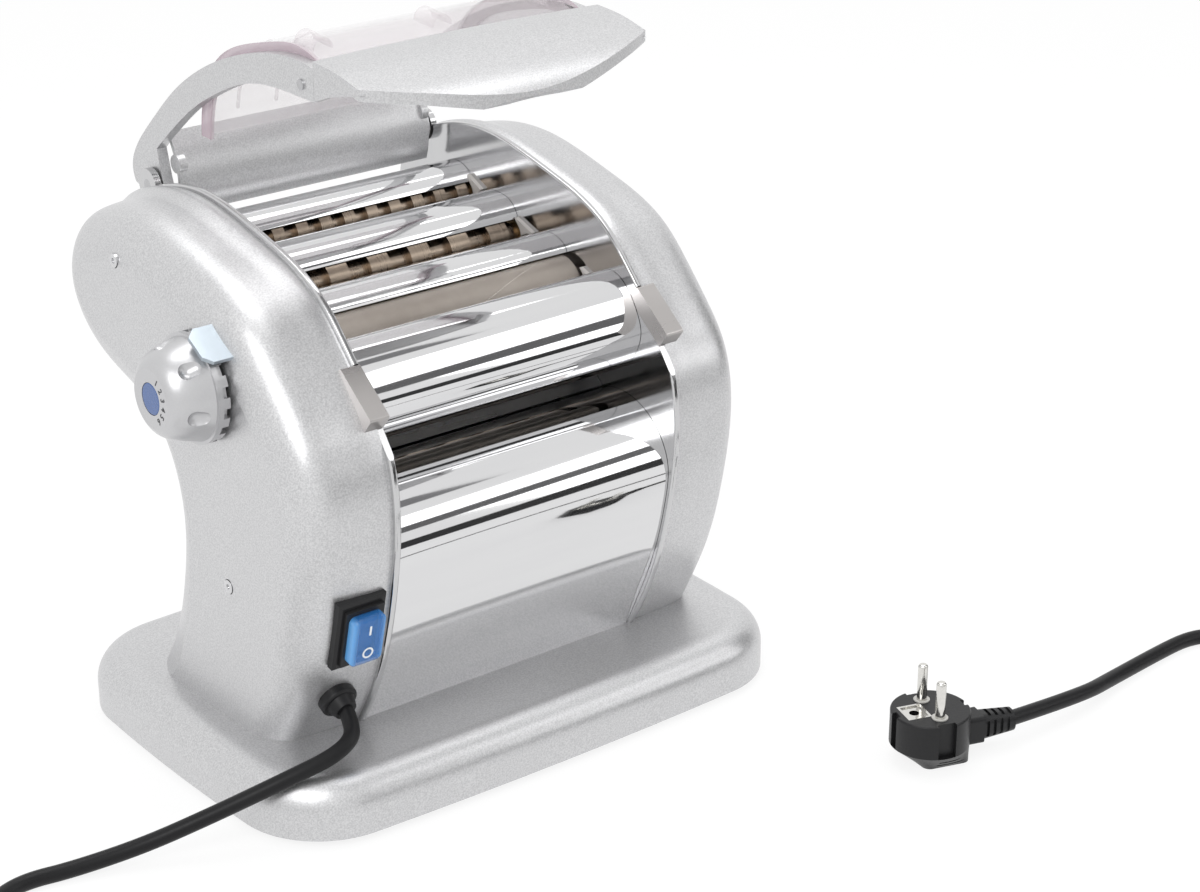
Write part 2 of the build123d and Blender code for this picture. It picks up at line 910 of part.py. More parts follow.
rear_phase = (
    meshed_phase(roller_teeth, front_phase, front_roller_axis, roller_teeth, rear_roller_axis) + mesh_lead
)
roller_idler_phase = meshed_phase(
    roller_teeth, front_phase, front_roller_axis, roller_idler_teeth, roller_idler_axis
)
drive_phase = meshed_phase(
    roller_idler_teeth, roller_idler_phase, roller_idler_axis, drive_teeth, drive_axis
)
pinion_phase = meshed_phase(drive_teeth, drive_phase, drive_axis, pinion_teeth, pinion_axis)
wide_rear_phase = meshed_phase(drive_teeth, drive_phase, drive_axis, cutter_teeth, wide_rear_axis)
wide_front_phase = meshed_phase(
    cutter_teeth, wide_rear_phase, wide_rear_axis, cutter_teeth, wide_front_axis
)
cutter_idler_phase = meshed_phase(
    cutter_teeth, wide_rear_phase, wide_rear_axis, cutter_idler_teeth, cutter_idler_axis
)
narrow_rear_phase = meshed_phase(
    cutter_idler_teeth, cutter_idler_phase, cutter_idler_axis, cutter_teeth, narrow_rear_axis
)
narrow_front_phase = meshed_phase(
    cutter_teeth, narrow_rear_phase, narrow_rear_axis, cutter_teeth, narrow_front_axis
)


def make_front_roller_gear():
    long_end = gear_start + gear_width
    first = gear(roller_teeth, front_phase, roller_journal, gear_start, long_end, front_roller_axis, True)
    second = gear(roller_teeth, front_phase, roller_journal, second_plane, gear_end, front_roller_axis)
    hub = ring(roller_pitch - 3, roller_journal, long_end, second_plane, front_roller_axis)
    return first + hub + second


def make_rear_roller_gear():
    end = gear_start + gear_width
    return gear(roller_teeth, rear_phase, rear_roller_stub, gear_start, end, rear_roller_axis, True)


def make_cutter_gear(axis, phase, x_to):
    return gear(cutter_teeth, phase, cutter_journal, gear_start, x_to, axis)


def make_idler(teeth, phase, axis):
    bore = idler_pin_radius + running_gap
    wheel = gear(teeth, phase, bore, second_plane, gear_end, axis)
    hub = ring(idler_pin_radius + 3, bore, second_plane - 1, gear_end + 1, axis)
    return wheel + hub


def make_pinion():
    wheel = gear(pinion_teeth, pinion_phase, cutter_journal, second_plane, gear_end, pinion_axis)
    shaft = bar(cutter_journal, inner_half - gearbox_depth + 6, gear_end + 1, pinion_axis)
    return [wheel, shaft]


def make_gear_posts():
    """Idler pins and the posts that carry the gear plate."""
    end = gear_plate_x + gear_plate_thick
    posts = []
    for axis in (drive_axis, roller_idler_axis):
        posts.append(bar(idler_pin_radius, plate_outer, end, axis))
    posts.append(bar(idler_pin_radius, second_plane - 1, end, cutter_idler_axis))
    for axis in raised(post_places):
        posts.append(bar(post_radius, plate_outer, gear_plate_x, axis) + bar(2, gear_plate_x, end, axis))
    return posts


def make_gear_plate():
    points = (
        (-64.0, 137.0),
        (-55.0, 172.0),
        (-14.0, 184.0),
        (2.0, 197.0),
        (84.0, 199.0),
        (96.0, 172.0),
        (62.0, 158.0),
        (34.0, 120.0),
        (4.0, 92.0),
        (-14.0, 94.0),
        (-42.0, 114.0),
    )
    plate = slab(closed_face(raised(points)), gear_plate_x, gear_plate_x + gear_plate_thick)
    plate = fillet(plate.edges().filter_by(Axis.X), 4)
    span = (gear_plate_x - 1, gear_plate_x + gear_plate_thick + 1)
    plate -= bar(collar_radius + bush_wall, *span, adjuster_axis)
    for axis in (drive_axis, roller_idler_axis, cutter_idler_axis):
        plate -= bar(idler_pin_radius, *span, axis)
    for axis in raised(post_places):
        plate -= bar(2, *span, axis)
    for axis, radius in (
        (front_roller_axis, roller_journal),
        (wide_rear_axis, cutter_journal),
        (narrow_rear_axis, cutter_journal),
        (pinion_axis, cutter_journal),
    ):
        plate -= bar(radius + 1, *span, axis)
    return plate


# ---- Thickness adjuster ---------------------------------------------------------

knob_back = -housing_reach - knob_stand_off
knob_front = knob_back - knob_length
collar_end = -inner_half + 1
spring_radius = spindle_radius + spring_wire + 0.2


def make_adjuster_rod():
    """Rod on the eccentric axis and, pinned on its right end, the collar."""
    end = gear_plate_x + gear_plate_thick
    rod = bar(rod_radius, -plate_outer - 1, end, rear_roller_axis)
    collar = bar(collar_radius, gear_end + 1.5, end, adjuster_axis)
    collar -= bar(rod_radius, gear_end, end + 1, rear_roller_axis)
    return [rod, collar]


def make_knob_spindle():
    """Left collar on the adjuster axis, going on to the knob as a spindle."""
    inner = plate_outer + 1
    collar = bar(collar_radius, -inner - 4, collar_end, adjuster_axis)
    collar -= bar(rod_radius, -inner, collar_end + 1, rear_roller_axis)
    head_inside = knob_back - spring_seat - spring_length
    head = bar(spring_radius + 0.8, head_inside - spring_washer, head_inside, adjuster_axis)
    return collar + head + bar(spindle_radius, head_inside, -inner - 4, adjuster_axis)


def knob_profile():
    """Half section of the knob as (distance along its axis, radius)."""
    ring_end = knob_ring_width
    shoulder = knob_ring_radius - 1.5
    face = knob_length
    return make_face(
        Polyline(
            (ring_end, shoulder),
            (ring_end, knob_ring_radius),
            (0, knob_ring_radius),
            (0, 0),
            (face, 0),
            (face, knob_face_radius),
        )
        + Spline(
            (face, knob_face_radius),
            (face - 3, knob_face_radius + 4),
            (face - 10, knob_ring_radius - 4),
            (ring_end, shoulder),
        )
    )


def make_knob():
    profile = Plane(origin=(0, 0, 0), x_dir=(0, 0, 1), z_dir=(1, 0, 0)) * knob_profile()
    knob = revolve(profile, Axis.Z)
    hollow_radius = knob_ring_radius - knob_wall - 1.5
    hollow = Pos(0, 0, 4) * Cylinder(hollow_radius, 8)
    knob -= hollow
    boss = Pos(0, 0, 4) * Cylinder(spindle_radius + 3, 8)
    knob += boss
    for step in range(knob_notches):
        angle = 360 * (step + 0.5) / knob_notches
        notch = Box(6, knob_notch_width, 2 * knob_notch_depth)
        knob -= Rot(0, 0, angle) * Pos(knob_ring_radius, 0, 0) * notch
    for step in range(knob_scallops):
        angle = 360 * (step + 0.25) / knob_scallops
        scallop = Rot(0, -32, 0) * Cylinder(4.6, 12)
        scallop = fillet(scallop.edges(), 4.4)
        knob -= Rot(0, 0, angle) * Pos(knob_ring_radius - 1.2, 0, knob_length - 11) * scallop
    depth = cap_thick
    knob -= Pos(0, 0, knob_length) * Cylinder(cap_radius, 2 * depth)
    pocket = knob_length - cap_thick - spring_seat
    knob -= Pos(0, 0, spring_seat + pocket / 2) * Cylinder(spring_radius + 1.1, pocket)
    knob -= Pos(0, 0, knob_length / 2) * Cylinder(spindle_radius + running_gap, knob_length + 2)
    return place_on_adjuster(knob)


def place_on_adjuster(shape):
    """Move a shape built along +Z to the adjuster, pointing away from the housing."""
    return Pos(knob_back, adjuster_axis[0], adjuster_axis[1]) * Rot(0, -90, 0) * shape


def make_knob_cap():
    cap = Pos(0, 0, knob_length - cap_thick / 2 + 0.4) * Cylinder(cap_radius, cap_thick - 0.8)
    cap = fillet(cap.edges().sort_by(Axis.Z)[-1], 0.8)
    return place_on_adjuster(cap)


def make_knob_spring():
    """Coil spring round the spindle, from the knob's pocket out to the spindle's head."""
    rise = spring_length - 2 * spring_wire
    wire = Helix(rise / spring_turns, rise, spring_radius)
    start = Plane(origin=wire @ 0, z_dir=wire % 0)
    coil = sweep(start * Circle(spring_wire), path=wire)
    return place_on_adjuster(Pos(0, 0, spring_seat + spring_wire) * coil)


def make_index_tab():
    """Plate that stands out of a slot in the housing beside the knob's ring."""
    blade = Box(tab_thick, tab_width, tab_length)
    blade = chamfer(blade.faces().sort_by(Axis.Z)[-1].edges().filter_by(Axis.X), tab_width / 5)
    radius = knob_ring_radius + tab_gap + tab_thick / 2
    blade = Pos(radius, 0, tab_length / 2 - knob_stand_off - tab_root) * blade
    return place_on_adjuster(Rot(0, 0, 90 - tab_angle) * blade)


# ---- Motor ----------------------------------------------------------------------


def make_gearbox():
    """Reduction gearbox bolted to the inside of the right side plate."""
    motor_axis = (motor_y, deck + motor_rise)
    points = [
        (motor_axis[0] - 26, motor_axis[1] - 24),
        (motor_axis[0] + 34, motor_axis[1] - 24),
        (pinion_axis[0] + 15, pinion_axis[1] - 6),
        (pinion_axis[0] + 9, pinion_axis[1] + 10),
        (pinion_axis[0] - 12, pinion_axis[1] + 10),
        (motor_axis[0] - 26, motor_axis[1] + 26),
    ]
    start = inner_half - gearbox_depth
    box = slab(closed_face(points), start, inner_half)
    box = fillet(box.edges().filter_by(Axis.X), 5)
    box -= bar(cutter_journal + running_gap, start + 5, inner_half + 1, pinion_axis)
    return box


def make_motor():
    axis = (motor_y, deck + motor_rise)
    end = inner_half - gearbox_depth
    can = bar(motor_radius, end - motor_length, end, axis)
    can = fillet(can.edges(), 3)
    return can + bar(8, end - motor_length - 6, end - motor_length, axis)


def make_motor_bracket():
    """Saddle that carries the free end of the motor on the deck."""
    axis = (motor_y, deck + motor_rise)
    x_from = inner_half - gearbox_depth - motor_length + 12
    x_to = x_from + 18
    front, rear = motor_y - 26, motor_y + 26
    web_face = closed_face([(front, deck), (rear, deck), (rear, axis[1]), (front, axis[1])])
    web = slab(web_face, x_from, x_from + bracket_thick)
    foot = Pos((x_from + x_to) / 2, motor_y, deck + bracket_thick / 2) * Box(
        x_to - x_from, 52, bracket_thick
    )
    return web + foot - bar(motor_radius, x_from - 1, x_to + 1, axis)


def make_capacitor():
    axis = (-12.0, deck + 92.0)
    end = -plate_outer
    return fillet(bar(capacitor_radius, end - capacitor_length, end, axis).edges(), 1.5)


# ---- Switch and gland -----------------------------------------------------------


def make_switch_bezel():
    plane = switch_plane()
    thick = switch_flange + panel_seat
    flange = Pos(0, 0, switch_flange - thick / 2) * Box(switch_width, switch_height, thick)
    flange = chamfer(flange.faces().sort_by(Axis.Z)[-1].edges(), 1.2)
    step = Pos(0, 0, switch_flange + 1) * Box(switch_width - 5, switch_height - 6, 2)
    body = Pos(0, 0, -switch_body_depth / 2) * Box(*switch_hole(), switch_body_depth)
    well_floor = -6.0
    well = Box(boot_width - 2 * boot_wall - 1, boot_height - 2 * boot_wall - 1, 12)
    bezel = flange + step + body - Pos(0, 0, well_floor + 6) * well
    return plane * (bezel - rocker_pin(rocker_pin_radius + running_gap))


def rocker_pin(radius):
    """Pivot of the rocker, across the switch."""
    length = boot_width
    return Pos(0, 0, rocker_pivot_height) * Rot(0, 90, 0) * Cylinder(radius, length)


def make_switch_rocker():
    """Rocker, resting with its lower half pressed."""
    width = boot_width - 2 * boot_wall - 1.6
    length = boot_height - 2 * boot_wall - 2.4
    crown = 3.2
    half_angle = rocker_travel / 2
    profile = closed_face(
        (
            (-length / 2, crown),
            (0, crown - length / 2 * math.tan(math.radians(half_angle))),
            (length / 2, crown),
            (length / 2 - 2, -3.5),
            (-length / 2 + 2, -3.5),
        )
    )
    rocker = extrude(Plane.YZ * profile, amount=width / 2, both=True)
    rocker = Pos(0, 0, rocker_pivot_height) * Rot(half_angle, 0, 0) * rocker
    return switch_plane() * (rocker + rocker_pin(rocker_pin_radius))


def make_switch_boot():
    """Clear silicone cap over the rocker."""
    base = switch_flange + 2
    height = boot_lift - 2
    outer = Pos(0, 0, base + height / 2) * Box(boot_width, boot_height, height)
    outer = fillet(outer.edges().filter_by(Axis.Z), 3)
    outer = fillet(outer.faces().sort_by(Axis.Z)[-1].edges(), 1.5)
    inner = Pos(0, 0, base + (height - boot_wall) / 2 - 0.5) * Box(
        boot_width - 2 * boot_wall, boot_height - 2 * boot_wall, height - boot_wall + 1
    )
    return switch_plane() * (outer - inner)


def make_cable_gland():
    thick = gland_flange_thick + panel_seat
    flange = Pos(0, 0, gland_flange_thick - thick / 2) * Cylinder(gland_radius, thick)
    flange = fillet(flange.faces().sort_by(Axis.Z)[-1].edges(), 1.5)
    dome = Cone(gland_radius - 2, cord_radius + 1.6, gland_dome_height)
    dome = Pos(0, 0, gland_flange_thick + gland_dome_height / 2) * dome
    thread = Pos(0, 0, -5) * Cylinder(gland_thread, 10)
    return gland_plane() * (flange + dome + thread)


# ---- Lid ------------------------------------------------------------------------

arm_outer_x = inner_half - arm_side_gap
arm_inner_x = arm_outer_x - arm_thick
# Lines (y, rise) of the lid's arms, from the front end back round the hinge.
arm_line = (
    (-32.5, 304.2),
    (-9.3, 305.2),
    (11.8, 301.6),
    (32.3, 295.9),
    (50.6, 288.8),
    (71.2, 278.2),
    (87.7, 267.2),
    (102.5, 254.7),
    (116.0, 242.3),
    (126.0, 231.5),
    (130.5, 222.5),
    (128.5, 213.5),
)
arm_inner_line = (
    (-32.5, 289.3),
    (-14.7, 289.3),
    (0.4, 288.9),
    (18.9, 286.3),
    (33.7, 281.6),
    (52.2, 273.2),
    (69.6, 263.6),
    (83.0, 254.2),
    (98.4, 242.0),
    (111.7, 230.0),
    (119.2, 221.0),
    (123.0, 212.0),
)
# Lug (y, rise) that carries the hinge knuckle inside the arm's bend.
lug_points = ((103.0, 221.0), (107.0, 236.0), (120.0, 226.0), (123.5, 214.0), (112.0, 209.5))
# Outer line (y, rise) of the window: it dips under the visor and rolls down at the rear.
window_line = (
    (-38.0, 302.2),
    (-30.0, 304.6),
    (-22.0, 307.4),
    (-9.3, 309.2),
    (11.8, 305.7),
    (32.3, 300.2),
    (50.6, 292.2),
    (63.0, 281.0),
    (70.5, 266.0),
    (73.5, 248.5),
)


def arm_face():
    """Section of a lid arm: a curved band that ends in a tail behind the hinge."""
    outer = Spline(*raised(arm_line))
    inner = Spline(*raised(arm_inner_line))
    ends = [Line(outer @ 0, inner @ 0), Line(outer @ 1, inner @ 1)]
    return make_face(Curve() + [outer, inner] + ends)


def beam_face():
    """Section of the curved beam that joins the arms behind the hinge."""
    points = ((104.0, 243.0), (98.0, 231.0), (95.5, 217.0), (98.0, 203.5))
    return sheet_face(raised(points), beam_thick)


def make_lid_frame():
    arm = slab(arm_face(), arm_inner_x, arm_outer_x)
    arm += slab(closed_face(raised(lug_points)), arm_inner_x, arm_outer_x)
    arm += bar(hinge_knuckle, arm_inner_x, arm_outer_x, hinge_axis)
    arm -= bar(hinge_pin_radius + running_gap, arm_inner_x - 1, arm_outer_x + 1, hinge_axis)
    frame = arm + mirror(arm, Plane.YZ)
    frame += slab(beam_face(), -arm_inner_x, arm_inner_x)
    for x in (-1, 1):
        boss_start = x * (arm_inner_x - beam_boss_length)
        frame += bar(beam_boss_radius, boss_start, x * arm_inner_x, *raised([beam_boss_place]))
        frame -= visor_screw_hole(x)
    return frame


def visor_screw_hole(side):
    """Bore for the screw that holds the visor's tongue to the arm on one side."""
    start = side * (arm_inner_x - 2 * visor_thick)
    return bar(visor_screw_radius / 2, start, side * (arm_outer_x + 1), *raised([visor_screw_place]))


def make_window():
    """Clear curved panel between the arms, standing a little proud of them."""
    line = raised(window_line)[::-1]
    panel = slab(sheet_face(line, window_thick), -arm_inner_x, arm_inner_x)
    flange_face = sheet_face(line, window_lift + window_flange)
    flange = slab(flange_face, arm_inner_x - window_thick, arm_inner_x)
    front = Pos(arm_inner_x, window_line[0][0], deck + window_line[0][1])
    flange -= front * Box(4 * window_thick, 2 * window_tuck, 4 * window_tuck)
    return panel + flange + mirror(flange, Plane.YZ)


def leaf_prism(inset):
    """Upright prism over the visor's leaf shape, moved in and back from its front and sides."""
    half = inner_half - visor_side_gap - inset
    bow = [(-half, -67.5), (-half * 0.67, -79.5), (0, -89.0), (half * 0.67, -79.5), (half, -67.5)]
    front = Spline(*[(x, y + inset) for x, y in bow])
    rear = Spline((half, inset - 33.0), (0, inset - 29.5), (-half, inset - 33.0))
    sides = [Line(front @ 1, rear @ 0), Line(rear @ 1, front @ 0)]
    leaf = make_face(Curve() + [front, rear] + sides)
    return extrude(Plane.XY.offset(deck + hinge_rise) * leaf, 2 * base_half_depth)


def make_visor():
    """Leaf-shaped front shade with a turned-down lip."""
    profile = (
        (-28.0, 307.8),
        (-38.0, 307.4),
        (-50.0, 306.4),
        (-66.0, 303.2),
        (-82.0, 298.6),
        (-90.0, 293.0),
    )
    half = inner_half - visor_side_gap
    leaf = slab(sheet_face(raised(profile), visor_thick), -half, half) & leaf_prism(0)
    lip = slab(sheet_face(raised(profile), visor_lip), -half, half) & leaf_prism(0)
    visor = leaf + (lip - leaf_prism(visor_lip_thick))
    seam = arm_line[0][0] - 0.1
    cheek_points = (
        (seam, 306.0),
        (seam, 289.6),
        (-43.0, 293.8),
        (-57.0, 297.6),
        (-69.0, 299.9),
        (-60.0, 303.5),
        (-48.0, 305.6),
    )
    cheek = slab(closed_face(raised(cheek_points)), arm_inner_x, arm_outer_x)
    tongue_points = ((-50.0, 297.0), (-16.0, 290.6), (-16.0, 297.0), (-30.0, 297.0), (-50.0, 302.0))
    tongue = slab(closed_face(raised(tongue_points)), arm_inner_x - visor_thick, arm_inner_x)
    side = cheek + tongue - visor_screw_hole(1)
    return visor + side + mirror(side, Plane.YZ)


def make_visor_screws():
    place = raised([visor_screw_place])[0]
    head = bar(visor_screw_radius, arm_outer_x, arm_outer_x + visor_screw_head, place)
    shank = bar(visor_screw_radius / 2, arm_inner_x - visor_thick, arm_outer_x, place)
    return spread(head + shank)


def make_hinge_pins():
    washer_x = arm_inner_x - 1.5
    pin = bar(hinge_pin_radius, washer_x, plate_outer, hinge_axis)
    pin += bar(hinge_pin_radius + 2, washer_x, arm_inner_x - 0.2, hinge_axis)
    return spread(pin)


# ---- Cord and plug --------------------------------------------------------------

# The cord's route in the finished frame, after the gland: over the deck's edge, down
# to the floor and round to the plug.
cord_route = (
    (-99.9, -96.3, 45.6),
    (-106.5, -101.0, 42.3),
    (-117.0, -101.3, 38.6),
    (-131.0, -98.0, 34.6),
    (-147.5, -92.0, 28.4),
    (-168.0, -82.6, 19.6),
    (-195.0, -70.4, 9.0),
    (-226.0, -61.0, 3.9),
    (-246.0, -56.5, 3.75),
    (-261.1, -60.0, 3.75),
    (-273.2, -69.7, 3.75),
    (-279.9, -83.7, 3.75),
    (-279.9, -99.2, 3.75),
    (-266.0, -140.0, 3.75),
    (-232.0, -182.0, 3.75),
    (-217.0, -232.0, 3.75),
    (-240.0, -282.0, 3.75),
    (-273.0, -318.0, 3.75),
    (-268.0, -360.0, 3.75),
    (-228.0, -386.0, 3.75),
    (-176.0, -382.0, 3.75),
    (-128.0, -346.0, 3.75),
    (-82.0, -298.0, 3.75),
    (-28.0, -280.0, 3.75),
    (26.0, -299.0, 3.75),
    (66.0, -346.0, 3.75),
    (106.0, -380.0, 3.75),
    (150.0, -390.6, 3.75),
    (198.0, -386.0, 3.75),
    (240.0, -352.0, 3.75),
    (278.0, -322.0, 3.75),
    (322.0, -322.0, 3.75),
    (349.0, -302.0, 3.75),
    (356.0, -277.0, 3.75),
    (354.3, -260.7, 3.75),
    (354.3, -246.7, 3.75),
    (348.8, -233.8, 3.75),
    (338.6, -224.2, 3.75),
    (325.5, -219.4, 3.75),
    (303.5, -220.6, 3.8),
    (262.0, -226.0, 5.0),
    (231.0, -234.0, 9.5),
)


def plug_frame():
    """Plane at the plug's middle on the floor, its x towards the cord."""
    turn = math.radians(relief_turn)
    return Plane(
        origin=(plug_place[0], plug_place[1], 0),
        x_dir=(math.cos(turn), math.sin(turn), 0),
        z_dir=(0, 0, 1),
    )


def gland_mouth(shift):
    """Point in the finished frame where the cord leaves the gland."""
    plane = gland_plane()
    point = plane.origin + plane.z_dir * (gland_flange_thick + gland_dome_height)
    return point + shift


def relief_end():
    """Point where the cord meets the plug's strain relief."""
    return plug_frame().from_local_coords(Vector(plug_radius + relief_length, 0, relief_height))


def cord_radii(points):
    """One bend radius for each corner of a route: as large as its two runs allow."""
    radii = []
    for before, corner, after in zip(points, points[1:], points[2:]):
        run = min((corner - before).length, (after - corner).length)
        turn = math.radians((corner - before).get_angle(after - corner))
        radii.append(0.45 * run / math.tan(turn / 2))
    return radii


def make_cord(shift):
    """Cord from the gland to the plug, as straight runs joined by round bends."""
    points = [gland_mouth(shift)] + [Vector(*p) for p in cord_route] + [relief_end()]
    radii = cord_radii(points)
    path = FilletPolyline(*points, radius=radii)
    print("cord length", round(path.length, 1), "radii", [round(r, 1) for r in radii])
    start = Plane(origin=path @ 0, z_dir=path % 0)
    cord = sweep(start * Circle(cord_radius), path=path)
    print("cord volume", round(cord.volume), round(math.pi * cord_radius**2 * path.length))
    return cord


def plug_wedge():
    """Back of the plug: from the round body to a narrow keel, with grooves to grip."""
    length, width = plug_keel
    keel = Pos(plug_keel_middle, 0) * RectangleRounded(length, width, plug_keel_corner)
    wedge = loft([Plane.XY * keel, Plane.XY.offset(plug_wedge_height) * Circle(plug_radius)])
    for level in plug_grip_levels:
        half_width = width / 2 + level * (plug_radius - width / 2) / plug_wedge_height
        for side in (-1, 1):
            place = Pos(plug_keel_middle + plug_keel_corner, side * half_width, level)
            wedge -= place * Box(*plug_grip_groove)
    return wedge


def plug_cuts():
    """Guide notches, slots for the earth clips and the pockets in the face."""
    length, width, thick = earth_plate_size
    tall = plug_height
    guide = Box(plug_guide_width, 2 * plug_guide_depth, tall)
    slot = Box(2 * plug_slot_depth, plug_slot_width, tall)
    pin = Cylinder(plug_pin_radius, 2 * plug_pin_root)
    cuts = [Pos(-plug_radius, 0, tall - plug_rim) * slot]
    cuts.append(Pos(plug_radius, 0, 1.5 * tall - plug_far_slot) * slot)
    for side in (-1, 1):
        cuts.append(Pos(0, side * plug_radius, tall - plug_rim) * guide)
        cuts.append(Pos(0, side * plug_pin_spacing / 2, tall) * pin)
    cuts.append(Pos(earth_plate_middle, 0, tall) * Box(length, width, 2 * thick))
    hole = Cylinder(earth_hole_radius, 2 * earth_hole_depth)
    cuts.append(Pos(earth_plate_middle, 0, tall) * hole)
    return cuts


def make_plug_body():
    """Round plug body standing on its wedge-shaped back."""
    round_height = plug_height - plug_wedge_height
    body = Pos(0, 0, plug_wedge_height + round_height / 2) * Cylinder(plug_radius, round_height)
    body = fillet(body.faces().sort_by(Axis.Z)[-1].edges(), 1)
    neck = fillet(Box(*plug_neck).edges().filter_by(Axis.X), 2)
    body += plug_wedge() + Pos(plug_radius + 1, 0, relief_height) * neck
    for cut in plug_cuts():
        body -= cut
    return plug_frame() * body


def make_plug_relief():
    """Strain relief between the plug and the cord, with cross slots so that it bends."""
    start = plug_radius + relief_start
    length = relief_length - relief_start
    turn = Pos(0, 0, relief_height) * Rot(0, 90, 0)
    near = turn * Pos(0, 0, start) * RectangleRounded(*relief_near)
    far = turn * Pos(0, 0, start + length) * RectangleRounded(*relief_far)
    relief = loft([near, far])
    offset = relief_near[1] / 2 + relief_slot_depth / 2
    flat = Box(relief_slot_width, 2 * relief_slot_depth, 2 * relief_far[2] - 2)
    upright = Box(relief_slot_width, 2 * relief_slot_depth + 1, 2 * relief_slot_depth)
    for index in range(relief_slots):
        x = start + relief_slot_pitch * (index + 0.6)
        for side in (-1, 1):
            relief -= Pos(x, side * offset, relief_height) * flat
            relief -= Pos(x + relief_slot_pitch / 2, 0, relief_height + side * offset) * upright
    return plug_frame() * relief


def make_plug_contacts():
    """The two pins, the earth plate in the face and the clip on the far side."""
    contacts = []
    pin_length = plug_pin_length + plug_pin_root
    for side in (-1, 1):
        pin = Cylinder(plug_pin_radius, pin_length)
        pin = fillet(pin.faces().sort_by(Axis.Z)[-1].edges(), plug_pin_radius * 0.65)
        height = plug_height - plug_pin_root + pin_length / 2
        contacts.append(Pos(0, side * plug_pin_spacing / 2, height) * pin)
    length, width, thick = earth_plate_size
    plate = Pos(0, 0, -thick / 2) * Box(*earth_plate_size)
    dish = Box(length - 2 * earth_plate_rim, width - 2 * earth_plate_rim, thick)
    hole = Cylinder(earth_hole_radius, 3 * thick)
    contacts.append(Pos(earth_plate_middle, 0, plug_height) * (plate - dish - hole))
    clip_x = plug_radius - plug_slot_depth + earth_clip_size[0] / 2
    clip = Pos(clip_x, 0, plug_height - plug_far_slot + earth_clip_size[2] / 2)
    contacts.append(clip * Box(*earth_clip_size))
    return [plug_frame() * contact for contact in contacts]


# ---- All pieces -----------------------------------------------------------------


def machine_pieces():
    """Every piece of the machine by name, in the machine's own frame."""
    short_end = gear_start + gear_width
    wide_front = make_cutter(wide_front_axis, wide_rib, 0, short_end)
    wide_rear = make_cutter(wide_rear_axis, wide_rib, 1, gear_end)
    narrow_front = make_cutter(narrow_front_axis, narrow_rib, 0, short_end)
    narrow_rear = make_cutter(narrow_rear_axis, narrow_rib, 1, gear_end)
    return {
        "base_shell": make_base_shell(),
        "base_plate": make_base_plate(),
        "rubber_feet": make_feet(),
        "base_screws": make_base_screws(),
        "left_side_plate": make_side_plate(-1),
        "right_side_plate": make_side_plate(1),
        "notch_plates": make_notch_plates(),
        "left_housing": make_left_housing(),
        "right_housing": make_right_housing(),
        "housing_screws": make_housing_screws(),
        "tie_rods": make_tie_rods(),
        "lower_front_cover": make_lower_front_cover(),
        "upper_front_cover": make_upper_front_cover(),
        "front_cover_strip": make_front_strip(),
        "middle_cover_strip": make_middle_strip(),
        "rear_cover_strip": make_rear_strip(),
        "sheet_chute": make_sheet_chute(),
        "rear_cover": make_rear_cover(),
        "end_guides": make_end_guides(),
        "roller_bushes": make_roller_bushes(),
        "cutter_combs": make_combs(),
        "front_roller": make_front_roller(),
        "front_roller_gear": make_front_roller_gear(),
        "rear_roller": make_rear_roller(),
        "rear_roller_gear": make_rear_roller_gear(),
        "floating_bushes": make_floating_bushes(),
        "adjuster_rod": make_adjuster_rod(),
        "knob_spindle": make_knob_spindle(),
        "knob": make_knob(),
        "knob_cap": make_knob_cap(),
        "knob_spring": make_knob_spring(),
        "index_tab": make_index_tab(),
        "wide_cutter_front": [
            wide_front,
            make_cutter_gear(wide_front_axis, wide_front_phase, short_end),
        ],
        "wide_cutter_rear": [
            wide_rear,
            make_cutter_gear(wide_rear_axis, wide_rear_phase, gear_end),
        ],
        "narrow_cutter_front": [
            narrow_front,
            make_cutter_gear(narrow_front_axis, narrow_front_phase, short_end),
        ],
        "narrow_cutter_rear": [
            narrow_rear,
            make_cutter_gear(narrow_rear_axis, narrow_rear_phase, gear_end),
        ],
        "drive_gear": make_idler(drive_teeth, drive_phase, drive_axis),
        "roller_idler": make_idler(roller_idler_teeth, roller_idler_phase, roller_idler_axis),
        "cutter_idler": make_idler(cutter_idler_teeth, cutter_idler_phase, cutter_idler_axis),
        "output_pinion": make_pinion(),
        "gear_posts": make_gear_posts(),
        "gear_plate": make_gear_plate(),
        "gearbox": make_gearbox(),
        "motor": make_motor(),
        "motor_bracket": make_motor_bracket(),
        "capacitor": make_capacitor(),
        "switch_bezel": make_switch_bezel(),
        "switch_rocker": make_switch_rocker(),
        "switch_boot": make_switch_boot(),
        "cable_gland": make_cable_gland(),
        "lid_frame": make_lid_frame(),
        "lid_window": make_window(),
        "visor": make_visor(),
        "visor_screws": make_visor_screws(),
        "hinge_pins": make_hinge_pins(),
    }


def solids_of(shape):
    """The separate solids of a piece or of a list of pieces."""
    shapes = shape if isinstance(shape, list) else [shape]
    return [solid for one in shapes for solid in one.solids()]


def frame_shift(pieces):
    """Move that puts the origin on the floor below the middle of the machine's box."""
    box = Compound(children=[s for shape in pieces.values() for s in solids_of(shape)]).bounding_box()
    return Vector(-(box.min.X + box.max.X) / 2, -(box.min.Y + box.max.Y) / 2, -box.min.Z)


def write(name, shape, shift):
    solids = [Pos(*shift) * solid for solid in solids_of(shape)]
    export_step(Compound(children=solids) if len(solids) > 1 else solids[0], f"parts/{name}.step")


def build_all():
    pieces = machine_pieces()
    shift = frame_shift(pieces)
    print("frame shift", shift)
    for name, shape in pieces.items():
        write(name, shape, shift)
    still = Vector(0, 0, 0)
    write("cord", make_cord(shift), still)
    write("plug_body", make_plug_body(), still)
    write("plug_relief", make_plug_relief(), still)
    write("plug_contacts", make_plug_contacts(), still)


build_all()
